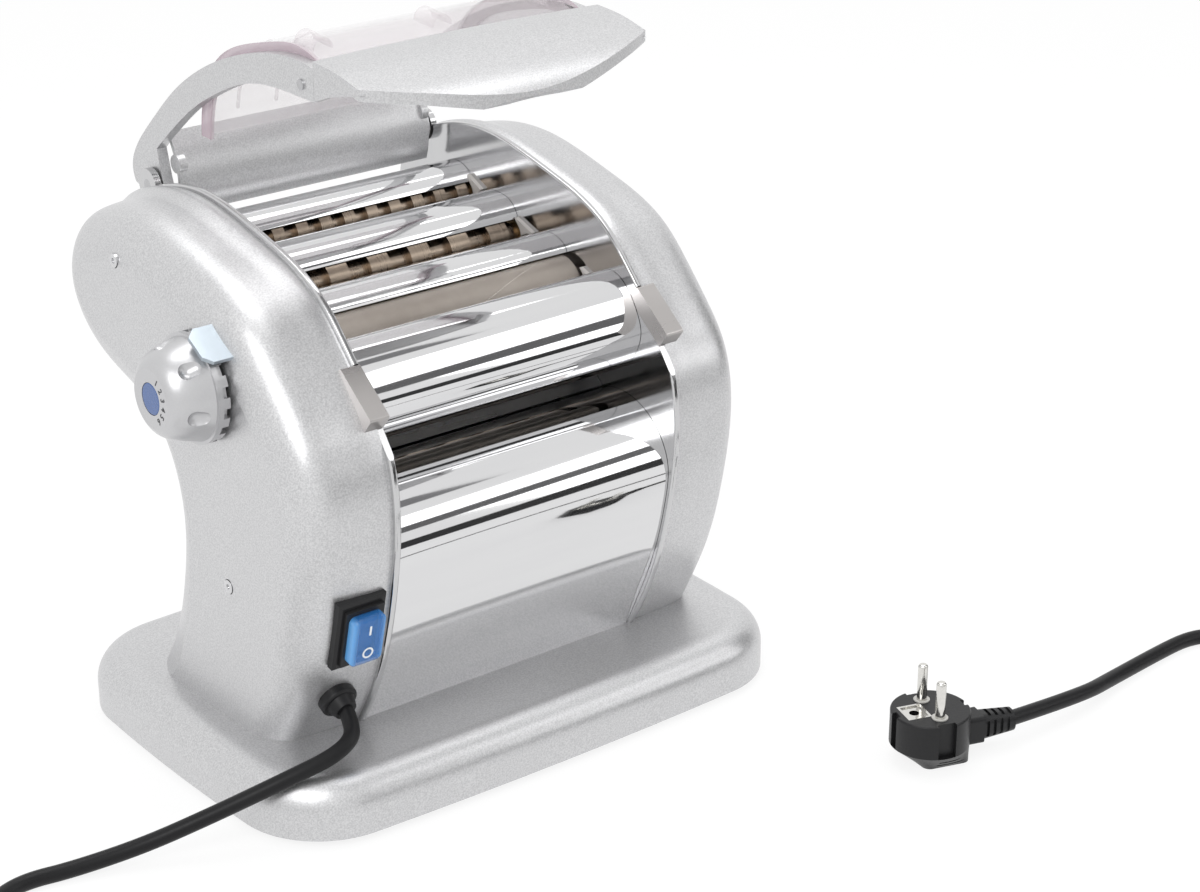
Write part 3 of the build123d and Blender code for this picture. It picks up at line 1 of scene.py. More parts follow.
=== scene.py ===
"""Dress of the table-top pasta machine: finishes, fine detail, cord, studio and camera.

The scene is in metres in the machine's own frame: X runs along the rollers, -Y is the
front and +Z is up. Measures of the fine detail are written in millimetres and scaled by MM
where a piece is made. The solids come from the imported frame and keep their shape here.
"""

from __future__ import annotations

import json
import logging
import math
from dataclasses import dataclass
from enum import Enum

import bmesh
import bpy
from mathutils import Matrix, Vector

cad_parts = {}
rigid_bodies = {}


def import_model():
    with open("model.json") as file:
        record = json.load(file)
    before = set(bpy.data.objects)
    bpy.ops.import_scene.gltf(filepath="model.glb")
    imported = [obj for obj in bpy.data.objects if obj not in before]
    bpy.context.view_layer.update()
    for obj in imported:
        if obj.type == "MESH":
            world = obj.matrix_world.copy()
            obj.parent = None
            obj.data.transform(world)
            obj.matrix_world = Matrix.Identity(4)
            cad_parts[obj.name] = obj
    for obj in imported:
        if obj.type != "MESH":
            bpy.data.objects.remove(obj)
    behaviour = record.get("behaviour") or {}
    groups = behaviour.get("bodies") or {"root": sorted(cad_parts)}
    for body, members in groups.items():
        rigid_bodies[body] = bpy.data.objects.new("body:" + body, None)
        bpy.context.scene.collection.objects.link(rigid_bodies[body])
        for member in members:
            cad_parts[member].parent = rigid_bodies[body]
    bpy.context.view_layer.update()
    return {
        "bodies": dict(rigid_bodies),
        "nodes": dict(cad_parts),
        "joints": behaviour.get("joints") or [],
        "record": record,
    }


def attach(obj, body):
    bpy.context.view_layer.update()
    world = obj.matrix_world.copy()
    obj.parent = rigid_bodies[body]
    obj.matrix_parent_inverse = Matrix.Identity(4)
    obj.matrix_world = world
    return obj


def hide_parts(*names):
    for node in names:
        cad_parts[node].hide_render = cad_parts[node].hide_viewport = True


LOG = logging.getLogger("pasta_machine")
MM = 0.001
RING_SIDES = 32
WELD = 1e-7
SOFT_ANGLE = 35.0

Number = float | int
Colour = tuple[float, float, float]
Point = tuple[float, float, float]
Section = tuple[bmesh.types.BMVert, ...]


# ---- Shader toolkit ---------------------------------------------------------------


class Wire:
    """A value that varies over a surface, for use in Python sums."""

    def __init__(self, tree: bpy.types.NodeTree, socket: bpy.types.NodeSocket) -> None:
        """Wraps one output socket of a node tree."""
        self.tree = tree
        self.socket = socket

    def _math(self, operation: str, *terms: Wire | Number) -> Wire:
        """Adds one Math node.

        Args:
            operation: The node's operation.
            terms: Its inputs, in order.

        Returns:
            The node's value.
        """
        node = self.tree.nodes.new("ShaderNodeMath")
        node.operation = operation
        for place, term in enumerate(terms):
            if isinstance(term, Wire):
                self.tree.links.new(term.socket, node.inputs[place])
            else:
                node.inputs[place].default_value = term
        return Wire(self.tree, node.outputs[0])

    def __add__(self, other: Wire | Number) -> Wire:
        """Sum of two values."""
        return self._math("ADD", self, other)

    __radd__ = __add__

    def __sub__(self, other: Wire | Number) -> Wire:
        """This value less another."""
        return self._math("SUBTRACT", self, other)

    def __rsub__(self, other: Number) -> Wire:
        """A number less this value."""
        return self._math("SUBTRACT", other, self)

    def __mul__(self, other: Wire | Number) -> Wire:
        """Product of two values."""
        return self._math("MULTIPLY", self, other)

    def __abs__(self) -> Wire:
        """Size of this value without its sign."""
        return self._math("ABSOLUTE", self)

    def above(self, edge: Number) -> Wire:
        """One where this value is over the edge, else nought."""
        return self._math("GREATER_THAN", self, edge)

    def wave(self) -> Wire:
        """Sine of this value."""
        return self._math("SINE", self)

    def bearing(self, other: Wire) -> Wire:
        """Angle of the point whose rise is this value and whose run is the other."""
        return self._math("ARCTAN2", self, other)

    def between(self, low: Number, high: Number) -> Wire:
        """This value, from nought at low to one at high, kept within those."""
        node = self.tree.nodes.new("ShaderNodeMapRange")
        node.clamp = True
        self.tree.links.new(self.socket, node.inputs["Value"])
        node.inputs["From Min"].default_value = low
        node.inputs["From Max"].default_value = high
        return Wire(self.tree, node.outputs["Result"])


class Surface:
    """One procedural material while it is being made."""

    def __init__(self, name: str, centre: Point = (0.0, 0.0, 0.0)) -> None:
        """Starts a material.

        Args:
            name: The material's name.
            centre: Point that the surface's patterns are measured from.
        """
        self.material = bpy.data.materials.new(name)
        self.material.use_nodes = True
        self.tree = self.material.node_tree
        self.shader = self.tree.nodes["Principled BSDF"]
        coordinates = self.tree.nodes.new("ShaderNodeTexCoord")
        mapping = self.tree.nodes.new("ShaderNodeMapping")
        mapping.inputs["Location"].default_value = tuple(-c for c in centre)
        self.tree.links.new(coordinates.outputs["Object"], mapping.inputs["Vector"])
        self.place = Wire(self.tree, mapping.outputs["Vector"])

    def node(
        self,
        kind: str,
        settings: dict[str, object] | None = None,
        inputs: dict[str | int, object] | None = None,
        output: str | int = 0,
    ) -> Wire:
        """Adds one node of any kind.

        Args:
            kind: The node's type.
            settings: Properties that are set first.
            inputs: Values or wires of its sockets.
            output: The output that is wanted.

        Returns:
            That output.
        """
        node = self.tree.nodes.new(kind)
        for name, value in (settings or {}).items():
            setattr(node, name, value)
        for name, value in (inputs or {}).items():
            if isinstance(value, Wire):
                self.tree.links.new(value.socket, node.inputs[name])
            else:
                node.inputs[name].default_value = value
        return Wire(self.tree, node.outputs[output])

    def stretched(self, scale: Point) -> Wire:
        """The surface's place, scaled along the axes."""
        return self.node("ShaderNodeMapping", inputs={"Vector": self.place, "Scale": scale})

    def noise(self, scale: float, detail: float = 3.0, stretch: Point | None = None) -> Wire:
        """Cloudy value from nought to one.

        Args:
            scale: Clouds per metre.
            detail: Octaves of finer clouds.
            stretch: Scale along each axis, for streaks.

        Returns:
            The clouds' value.
        """
        place = self.stretched(stretch) if stretch else self.place
        inputs = {"Vector": place, "Scale": scale, "Detail": detail}
        return self.node("ShaderNodeTexNoise", inputs=inputs, output="Fac")

    def axes(self) -> tuple[Wire, Wire, Wire]:
        """The surface's place as three values."""
        node = self.tree.nodes.new("ShaderNodeSeparateXYZ")
        self.tree.links.new(self.place.socket, node.inputs[0])
        return tuple(Wire(self.tree, node.outputs[axis]) for axis in range(3))

    def colours(self, factor: Wire, first: Colour, second: Colour) -> Wire:
        """Colour that goes from the first to the second as the factor rises."""
        inputs = {0: factor, 6: (*first, 1.0), 7: (*second, 1.0)}
        return self.node("ShaderNodeMix", {"data_type": "RGBA"}, inputs, 2)

    def over(self, factor: Wire, below: Wire, above: Colour) -> Wire:
        """Lays a colour over a varying one where the factor is one."""
        inputs = {0: factor, 6: below, 7: (*above, 1.0)}
        return self.node("ShaderNodeMix", {"data_type": "RGBA"}, inputs, 2)

    def bump(self, height: Wire, distance: float, strength: float = 1.0) -> None:
        """Feeds a height field to the surface's normal.

        Args:
            height: The field, from nought at its low places to one at its high ones.
            distance: Depth between low and high, in metres.
            strength: Share of that depth which the shading takes up.
        """
        inputs = {"Height": height, "Distance": distance, "Strength": strength}
        normal = self.node("ShaderNodeBump", inputs=inputs)
        self.tree.links.new(normal.socket, self.shader.inputs["Normal"])

    def put(self, socket: str, value: object) -> None:
        """Sets or links one of the shader's sockets."""
        if isinstance(value, Wire):
            self.tree.links.new(value.socket, self.shader.inputs[socket])
        elif isinstance(value, tuple) and len(value) == 3:
            self.shader.inputs[socket].default_value = (*value, 1.0)
        else:
            self.shader.inputs[socket].default_value = value


# ---- Finishes ---------------------------------------------------------------------


def toned(colour: Colour, factor: float, lift: float = 0.0) -> Colour:
    """Makes a colour darker or lighter, and at most white.

    Args:
        colour: The colour.
        factor: What its parts are multiplied by.
        lift: What is added to them after that.

    Returns:
        The new colour.
    """
    return tuple(min(1.0, part * factor + lift) for part in colour)


@dataclass(frozen=True)
class SatinSilver:
    """Silver paint with a fine metallic grain, as on the castings."""

    name: str
    shade: float = 0.62
    roughness: float = 0.38
    grain: float = 1300.0
    dark: Colour = (0.84, 0.84, 0.855)
    light: Colour = (1.14, 1.14, 1.15)
    metallic: float = 0.85
    depth: float = 0.00006

    def build(self) -> bpy.types.Material:
        """Makes the material."""
        made = Surface(self.name)
        flake = made.noise(self.grain, detail=2.0)
        cloud = made.noise(7.0, detail=1.0)
        low = toned(self.dark, self.shade)
        high = toned(self.light, self.shade)
        speck = flake.between(0.34, 0.66)
        made.put("Base Color", made.colours(speck * 0.85 + cloud * 0.15, low, high))
        made.put("Metallic", self.metallic)
        made.put("Roughness", self.roughness + (flake - 0.5) * 0.22 + (cloud - 0.5) * 0.05)
        made.bump(flake, self.depth, 0.55)
        return made.material


@dataclass(frozen=True)
class MirrorSteel:
    """Polished and chromed sheet with the faint haze of its rolling."""

    name: str
    shade: float = 0.70
    haze: float = 0.05
    dark: Colour = (0.95, 0.95, 0.965)
    light: Colour = (1.04, 1.04, 1.045)
    rolling: Point = (1.0, 14.0, 14.0)
    ripple: float = 0.00025

    def build(self) -> bpy.types.Material:
        """Makes the material."""
        made = Surface(self.name)
        streak = made.noise(6.0, detail=4.0, stretch=self.rolling)
        cloud = made.noise(14.0)
        low = toned(self.dark, self.shade)
        high = toned(self.light, self.shade)
        made.put("Base Color", made.colours(streak, low, high))
        made.put("Metallic", 1.0)
        made.put("Roughness", self.haze + (cloud - 0.4) * 0.06 + (streak - 0.5) * 0.04)
        made.bump(made.noise(11.0, detail=1.0), self.ripple, 0.35)
        return made.material


@dataclass(frozen=True)
class GroundSteel:
    """Sheet with fine grinding lines along one axis."""

    name: str
    colour: Colour
    stretch: Point
    roughness: float = 0.28
    dark: float = 0.86
    light: float = 1.08
    depth: float = 0.00005

    def build(self) -> bpy.types.Material:
        """Makes the material."""
        made = Surface(self.name)
        line = made.noise(60.0, detail=5.0, stretch=self.stretch)
        cloud = made.noise(30.0)
        low, high = toned(self.colour, self.dark), toned(self.colour, self.light)
        made.put("Base Color", made.colours(line * 0.6 + cloud * 0.4, low, high))
        made.put("Metallic", 1.0)
        made.put("Roughness", self.roughness + (line - 0.5) * 0.2 + (cloud - 0.5) * 0.06)
        made.bump(line, self.depth, 0.4)
        return made.material


@dataclass(frozen=True)
class KnurledRoller:
    """Smooth dough roller: bronze-grey, with a fine cross pattern and faint spirals."""

    name: str
    centre: Point
    pitch: float = 0.0011
    radius: float = 0.0145
    depth: float = 0.0002
    spiral_pitch: float = 0.045
    spiral_rise: float = 0.35
    spiral_width: float = 0.018
    dark: Colour = (0.27, 0.235, 0.205)
    light: Colour = (0.50, 0.455, 0.41)
    bright: Colour = (0.80, 0.75, 0.70)

    def build(self) -> bpy.types.Material:
        """Makes the material."""
        made = Surface(self.name, self.centre)
        along, across, up = made.axes()
        arc = up.bearing(across) * self.radius
        turns = 2 * math.pi / self.pitch
        left = ((along + arc) * turns).wave()
        right = ((along - arc) * turns).wave()
        knurl = (left * right).between(-0.9, 0.9)
        winding = along * self.spiral_rise + arc
        spiral = abs((winding * (math.pi / self.spiral_pitch)).wave())
        scratch = 1.0 - spiral.between(0.0, self.spiral_width)
        cloud = made.noise(40.0, detail=4.0)
        worn = made.colours(cloud, self.dark, self.light)
        made.put("Base Color", made.over(scratch * 0.7, worn, self.bright))
        made.put("Metallic", 1.0)
        made.put("Roughness", 0.36 + (knurl - 0.5) * 0.16 - scratch * 0.12)
        made.bump(knurl - scratch * 0.5, self.depth, 0.7)
        return made.material


@dataclass(frozen=True)
class TurnedBronze:
    """Cutter steel with a warm tint and turning rings round its axis."""

    name: str
    colour: Colour = (0.30, 0.245, 0.195)
    dark: float = 0.62
    light: float = 1.35
    turning: Point = (1.0, 0.02, 0.02)
    depth: float = 0.0001

    def build(self) -> bpy.types.Material:
        """Makes the material."""
        made = Surface(self.name)
        ring = made.noise(900.0, detail=2.0, stretch=self.turning)
        cloud = made.noise(60.0)
        low, high = toned(self.colour, self.dark), toned(self.colour, self.light)
        made.put("Base Color", made.colours(ring * 0.45 + cloud * 0.55, low, high))
        made.put("Metallic", 1.0)
        made.put("Roughness", 0.30 + (ring - 0.5) * 0.20 + (cloud - 0.5) * 0.1)
        made.bump(ring, self.depth, 0.6)
        return made.material


@dataclass(frozen=True)
class PlatedSteel:
    """Turned and plated small parts: screws, pins, springs and rods."""

    name: str
    colour: Colour = (0.66, 0.66, 0.67)
    roughness: float = 0.24
    dark: float = 0.88
    light: float = 1.08
    depth: float = 0.00004

    def build(self) -> bpy.types.Material:
        """Makes the material."""
        made = Surface(self.name)
        fleck = made.noise(420.0)
        low, high = toned(self.colour, self.dark), toned(self.colour, self.light)
        made.put("Base Color", made.colours(fleck, low, high))
        made.put("Metallic", 1.0)
        made.put("Roughness", self.roughness + (fleck - 0.5) * 0.14)
        made.bump(fleck, self.depth, 0.35)
        return made.material


@dataclass(frozen=True)
class Moulded:
    """Moulded plastic or rubber with a fine spark-eroded grain."""

    name: str
    colour: Colour
    roughness: float = 0.45
    grain: float = 1500.0
    depth: float = 0.00005
    coat: float = 0.0
    metallic: float = 0.0
    gloss: float = 0.5
    dark: float = 0.86
    light: float = 1.12
    lift: float = 0.004

    def build(self) -> bpy.types.Material:
        """Makes the material."""
        made = Surface(self.name)
        grain = made.noise(self.grain)
        cloud = made.noise(28.0)
        low = toned(self.colour, self.dark)
        high = toned(self.colour, self.light, self.lift)
        made.put("Base Color", made.colours(cloud * 0.6 + grain * 0.4, low, high))
        made.put("Roughness", self.roughness + (grain - 0.5) * 0.14 + (cloud - 0.5) * 0.06)
        made.put("Metallic", self.metallic)
        made.put("Coat Weight", self.coat)
        made.put("Specular IOR Level", self.gloss)
        made.bump(grain, self.depth, 0.6)
        return made.material


@dataclass(frozen=True)
class ClearPlastic:
    """See-through plastic sheet whose outer margins are denser than its middle."""

    name: str
    tint: Colour
    edge: Colour
    centre: Point
    half_width: float
    margin: float = 0.003
    alpha: float = 0.20
    edge_alpha: float = 0.75
    roughness: float = 0.07
    coat: float = 0.6
    ripple: float = 0.0002

    def build(self) -> bpy.types.Material:
        """Makes the material."""
        made = Surface(self.name, self.centre)
        across = abs(made.axes()[0])
        rim = across.between(self.half_width - self.margin, self.half_width)
        cloud = made.noise(22.0, detail=2.0)
        made.put("Base Color", made.colours(rim, self.tint, self.edge))
        made.put("Alpha", rim * (self.edge_alpha - self.alpha) + (cloud * 0.05 + self.alpha))
        made.put("Roughness", self.roughness + (cloud - 0.5) * 0.05)
        made.put("Coat Weight", self.coat)
        made.bump(made.noise(18.0, detail=1.0), self.ripple, 0.3)
        return made.material


class Metal(Enum):
    """Plain colours of the bare metals."""

    GALVANISED = (0.56, 0.60, 0.64)
    GEAR = (0.46, 0.46, 0.47)
    DIE_CAST = (0.50, 0.51, 0.52)
    SPRING = (0.40, 0.40, 0.41)
    SINTERED = (0.55, 0.40, 0.22)
    NICKEL = (0.72, 0.71, 0.68)


# ---- Mesh toolkit -----------------------------------------------------------------


def finished(
    name: str,
    mesh: bmesh.types.BMesh,
    material: bpy.types.Material,
    smooth: bool = True,
) -> bpy.types.Object:
    """Turns a bmesh into an object at the origin.

    Args:
        name: The object's name.
        mesh: Its shape in metres; it is freed.
        material: Its finish.
        smooth: Whether its faces are shaded smooth.

    Returns:
        The object.
    """
    bmesh.ops.remove_doubles(mesh, verts=mesh.verts, dist=WELD)
    bmesh.ops.recalc_face_normals(mesh, faces=mesh.faces)
    data = bpy.data.meshes.new(name)
    mesh.to_mesh(data)
    mesh.free()
    data.materials.append(material)
    for face in data.polygons:
        face.use_smooth = smooth
    made = bpy.data.objects.new(name, data)
    bpy.context.collection.objects.link(made)
    if smooth:
        edge = made.modifiers.new("soft", "EDGE_SPLIT")
        edge.split_angle = math.radians(SOFT_ANGLE)
    return made


def join(target: bmesh.types.BMesh, part: bmesh.types.BMesh, place: Matrix) -> None:
    """Adds a part to a mesh at its place.

    Args:
        target: The mesh that grows.
        part: The mesh that is added; it is freed.
        place: Where the part goes.
    """
    bmesh.ops.transform(part, matrix=place, verts=part.verts)
    data = bpy.data.meshes.new("part")
    part.to_mesh(data)
    part.free()
    target.from_mesh(data)
    bpy.data.meshes.remove(data)


def facing(origin: Point, outward: Point, up: Point = (0.0, 0.0, 1.0)) -> Matrix:
    """Works out a frame on a surface.

    Args:
        origin: Where the frame's origin goes.
        outward: Direction of its Z.
        up: Direction that its Y leans to.

    Returns:
        The frame.
    """
    z = Vector(outward).normalized()
    x = Vector(up).cross(z).normalized()
    y = z.cross(x)
    frame = Matrix((x, y, z)).transposed().to_4x4()
    frame.translation = Vector(origin)
    return frame


def block(size: Point) -> bmesh.types.BMesh:
    """Box round the origin."""
    mesh = bmesh.new()
    bmesh.ops.create_cube(mesh, size=1.0)
    bmesh.ops.scale(mesh, vec=size, verts=mesh.verts)
    return mesh


def flat_ring(inner: float, outer: float, thick: float) -> bmesh.types.BMesh:
    """Makes a washer that stands on the XY plane.

    Args:
        inner: Radius of its hole.
        outer: Radius of its rim.
        thick: Its height along Z.

    Returns:
        The washer's mesh.
    """
    mesh = bmesh.new()
    for radius in (inner, outer):
        bmesh.ops.create_circle(mesh, segments=RING_SIDES, radius=radius)
    bmesh.ops.bridge_loops(mesh, edges=mesh.edges)
    made = bmesh.ops.extrude_face_region(mesh, geom=mesh.faces)
    top = [v for v in made["geom"] if isinstance(v, bmesh.types.BMVert)]
    bmesh.ops.translate(mesh, vec=(0, 0, thick), verts=top)
    return mesh


def lettering(text: str, height: float, thick: float) -> bmesh.types.BMesh:
    """Makes plain numerals, centred on the origin and facing +Z.

    Args:
        text: The numerals.
        height: Their height.
        thick: Half of their thickness.

    Returns:
        The numerals' mesh.
    """
    curve = bpy.data.curves.new("mark", "FONT")
    curve.body = text
    curve.size = height
    curve.align_x = "CENTER"
    curve.align_y = "CENTER"
    curve.extrude = thick
    curve.resolution_u = 3
    holder = bpy.data.objects.new("mark", curve)
    bpy.context.collection.objects.link(holder)
    bpy.context.view_layer.update()
    mesh = bmesh.new()
    data = bpy.data.meshes.new_from_object(holder)
    mesh.from_mesh(data)
    bpy.data.objects.remove(holder)
    bpy.data.curves.remove(curve)
    bpy.data.meshes.remove(data)
    return mesh


def dress(
    names: tuple[str, ...],
    material: bpy.types.Material,
    nodes: dict[str, bpy.types.Object],
) -> None:
    """Gives a finish to nodes of the frame.

    Args:
        names: The nodes' names.
        material: Their finish.
        nodes: Every node of the frame by name.
    """
    for name in names:
        slots = nodes[name].data.materials
        slots.clear()
        slots.append(material)
        LOG.info("%s: %s", name, material.name)


# ---- Studio and camera ------------------------------------------------------------


@dataclass
class Viewpoint:
    """Camera that looks down on the machine from its front left."""

    place: Point = (-0.69960, -1.02614, 0.65950)
    turn: float = -38.546
    dip: float = 23.361
    lens: float = 83.84
    sensor: float = 36.0

    def build(self) -> None:
        """Makes the camera and the scene's view of it."""
        turn, dip = math.radians(-self.turn), math.radians(self.dip)
        ahead = Vector(
            (math.sin(turn) * math.cos(dip), math.cos(turn) * math.cos(dip), -math.sin(dip))
        )
        data = bpy.data.cameras.new("camera")
        data.lens = self.lens
        data.sensor_width = self.sensor
        data.sensor_fit = "HORIZONTAL"
        data.clip_start = 0.05
        data.clip_end = 50.0
        camera = bpy.data.objects.new("camera", data)
        camera.location = self.place
        camera.rotation_euler = ahead.to_track_quat("-Z", "Y").to_euler()
        bpy.context.collection.objects.link(camera)
        bpy.context.scene.camera = camera
        bpy.context.scene.view_settings.view_transform = "Standard"


@dataclass
class Lamp:
    """One soft box."""

    name: str
    place: Point
    aim: Point
    size: tuple[float, float]
    power: float

    def build(self) -> None:
        """Makes the lamp."""
        data = bpy.data.lights.new(self.name, "AREA")
        data.shape = "RECTANGLE"
        data.size, data.size_y = self.size
        data.energy = self.power
        lamp = bpy.data.objects.new(self.name, data)
        lamp.location = self.place
        way = Vector(self.aim) - Vector(self.place)
        lamp.rotation_euler = way.to_track_quat("-Z", "Y").to_euler()
        bpy.context.collection.objects.link(lamp)


@dataclass
class Card:
    """Dark card that only polished metal sees, for the dark bands on the chrome."""

    name: str
    place: Point
    aim: Point
    size: tuple[float, float]
    shade: float
    cool: float = 1.02

    def build(self) -> None:
        """Makes the card."""
        way = Vector(self.aim) - Vector(self.place)
        mesh = bmesh.new()
        bmesh.ops.create_grid(mesh, x_segments=1, y_segments=1, size=0.5)
        bmesh.ops.scale(mesh, vec=(*self.size, 1.0), verts=mesh.verts)
        turn = way.to_track_quat("Z", "Y").to_matrix().to_4x4()
        bmesh.ops.transform(mesh, matrix=Matrix.Translation(self.place) @ turn, verts=mesh.verts)
        material = bpy.data.materials.new(self.name)
        material.use_nodes = True
        tree = material.node_tree
        tree.nodes.remove(tree.nodes["Principled BSDF"])
        glow = tree.nodes.new("ShaderNodeEmission")
        blue = self.shade * self.cool
        glow.inputs["Color"].default_value = (self.shade, self.shade, blue, 1.0)
        tree.links.new(glow.outputs[0], tree.nodes["Material Output"].inputs["Surface"])
        card = finished(self.name, mesh, material, False)
        card.visible_camera = False
        card.visible_diffuse = False
        card.visible_shadow = False
        card.visible_transmission = False


@dataclass
class Studio:
    """White sweep, soft boxes and cards."""

    daylight: float = 0.52
    floor_glow: float = 0.80
    floor_strength: float = 1.06
    floor_size: float = 12.0
    floor_white: float = 0.95
    lamps: tuple[Lamp, ...] = (
        Lamp("key_box", (-1.5, -0.9, 1.6), (0.0, 0.0, 0.12), (1.1, 1.1), 15.0),
        Lamp("top_box", (0.3, 0.3, 1.9), (0.0, 0.0, 0.1), (1.4, 1.0), 11.0),
        Lamp("fill_box", (1.3, -1.3, 0.9), (0.0, 0.0, 0.15), (0.9, 1.2), 5.0),
    )
    cards: tuple[Card, ...] = (
        Card("low_card", (0.80, -1.10, 0.13), (0.0, 0.0, 0.14), (1.9, 0.26), 0.05),
        Card("mid_card", (0.80, -1.15, 0.72), (0.0, 0.0, 0.2), (1.9, 0.20), 0.16),
        Card("side_card", (1.1, -0.35, 0.45), (0.0, 0.0, 0.2), (0.5, 0.8), 0.10),
        Card("high_card", (0.3, -0.9, 1.55), (0.0, 0.0, 0.2), (1.3, 0.26), 0.25),
    )

    def build(self) -> None:
        """Makes the floor, the world, the lamps and the cards."""
        self._floor()
        self._world()
        for lamp in self.lamps:
            lamp.build()
        for card in self.cards:
            card.build()

    def _floor(self) -> None:
        """White floor that keeps soft shadows."""
        mesh = bmesh.new()
        bmesh.ops.create_grid(mesh, x_segments=1, y_segments=1, size=self.floor_size)
        material = bpy.data.materials.new("white_floor")
        material.use_nodes = True
        tree = material.node_tree
        tree.nodes.remove(tree.nodes["Principled BSDF"])
        matt = tree.nodes.new("ShaderNodeBsdfDiffuse")
        matt.inputs["Color"].default_value = (*[self.floor_white] * 3, 1.0)
        glow = tree.nodes.new("ShaderNodeEmission")
        glow.inputs["Strength"].default_value = self.floor_strength
        blend = tree.nodes.new("ShaderNodeMixShader")
        blend.inputs["Fac"].default_value = self.floor_glow
        tree.links.new(matt.outputs[0], blend.inputs[1])
        tree.links.new(glow.outputs[0], blend.inputs[2])
        tree.links.new(blend.outputs[0], tree.nodes["Material Output"].inputs["Surface"])
        floor = finished("white_floor", mesh, material, False)

    def _world(self) -> None:
        """White surroundings: full white to the eye and in reflections."""
        world = bpy.data.worlds.new("white_room")
        bpy.context.scene.world = world
        world.use_nodes = True
        tree = world.node_tree
        background = tree.nodes["Background"]
        background.inputs["Color"].default_value = (1.0, 1.0, 1.0, 1.0)
        path = tree.nodes.new("ShaderNodeLightPath")
        seen = Wire(tree, path.outputs["Is Camera Ray"])
        seen = seen + Wire(tree, path.outputs["Is Glossy Ray"])
        seen = seen + Wire(tree, path.outputs["Is Transmission Ray"])
        strength = seen.above(0.5) * (1.0 - self.daylight) + self.daylight
        tree.links.new(strength.socket, background.inputs["Strength"])


# ---- Sub-assemblies ---------------------------------------------------------------


@dataclass
class Casing:
    """Base, side plates, housings, covers and their screws."""

    nodes: dict[str, bpy.types.Object]
    screw_places: tuple[Point, ...] = (
        (-123.55, 50.263, 233.0),
        (-123.55, -35.737, 101.0),
        (127.25, 50.263, 233.0),
        (127.25, -35.737, 101.0),
    )
    # Size, lift and turn of the dark crosses that are laid on the screw heads as painted shade
    # for their recesses.
    shade_cross_length: float = 3.4
    shade_cross_width: float = 0.8
    shade_cross_thickness: float = 0.3
    shade_cross_lift: float = 0.31
    shade_cross_turn: float = 20.0

    def dress(self) -> None:
        """Gives every casing node its finish."""
        silver = SatinSilver("satin_silver").build()
        dress(("base_shell", "left_housing", "right_housing"), silver, self.nodes)
        polished = MirrorSteel("polished_plate", 0.58, 0.13).build()
        dress(("left_side_plate", "right_side_plate"), polished, self.nodes)
        cover = MirrorSteel("mirror_cover").build()
        covers = (
            "lower_front_cover",
            "upper_front_cover",
            "front_cover_strip",
            "middle_cover_strip",
            "rear_cover_strip",
            "rear_cover",
        )
        dress(covers, cover, self.nodes)
        notch = GroundSteel("notch_steel", (0.48, 0.46, 0.45), (0.1, 1.0, 1.0), 0.3).build()
        dress(("notch_plates",), notch, self.nodes)
        inner = GroundSteel("galvanised_sheet", Metal.GALVANISED.value, (0.08, 1.0, 1.0)).build()
        dress(("tie_rods", "sheet_chute"), inner, self.nodes)
        black = Moulded("base_plate_black", (0.035, 0.035, 0.037), 0.5).build()
        dress(("base_plate",), black, self.nodes)
        rubber = Moulded("foot_rubber", (0.02, 0.02, 0.021), 0.7, 700.0, 0.00012).build()
        dress(("rubber_feet",), rubber, self.nodes)
        white = Moulded("guide_white", (0.78, 0.75, 0.72), 0.4).build()
        dress(("end_guides",), white, self.nodes)
        screw = PlatedSteel("screw_steel").build()
        dress(("base_screws", "housing_screws"), screw, self.nodes)

    def build(self) -> None:
        """Adds dark crosses on the housing screws, as painted shade for their cross recesses."""
        # Near-black finish: painted shade where the screws' cross recesses are.
        dark = Moulded("painted_recess_shade", (0.03, 0.03, 0.03), 0.6).build()
        mesh = bmesh.new()
        for place in self.screw_places:
            side = math.copysign(1.0, place[0])
            frame = facing(tuple(c * MM for c in place), (side, 0, 0))
            lift = Matrix.Translation((0, 0, self.shade_cross_lift * MM))
            for turn in (0, 90):
                bar = block((self.shade_cross_length * MM, self.shade_cross_width * MM, self.shade_cross_thickness * MM))
                spin = Matrix.Rotation(math.radians(turn + self.shade_cross_turn), 4, "Z")
                join(mesh, bar, frame @ lift @ spin)
        marks = finished("screw_recess_shade", mesh, dark, False)
        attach(marks, "machine")


@dataclass
class RollerSet:
    """Smooth rollers, cutters, bushes and combs."""

    nodes: dict[str, bpy.types.Object]
    front_axis: Point = (0.0, -0.05371, 0.18837)
    rear_axis: Point = (0.0, -0.02374, 0.19700)

    def dress(self) -> None:
        """Gives every roller node its finish."""
        for name, axis in (("front_roller", self.front_axis), ("rear_roller", self.rear_axis)):
            dress((name,), KnurledRoller(f"{name}_knurl", axis).build(), self.nodes)
        cutters = (
            "wide_cutter_front",
            "wide_cutter_rear",
            "narrow_cutter_front",
            "narrow_cutter_rear",
        )
        dress(cutters, TurnedBronze("cutter_bronze").build(), self.nodes)
        sintered = PlatedSteel("sintered_bush", Metal.SINTERED.value, 0.42).build()
        dress(("roller_bushes", "floating_bushes"), sintered, self.nodes)
        comb = Moulded("comb_black", (0.045, 0.045, 0.047), 0.45).build()
        dress(("cutter_combs",), comb, self.nodes)


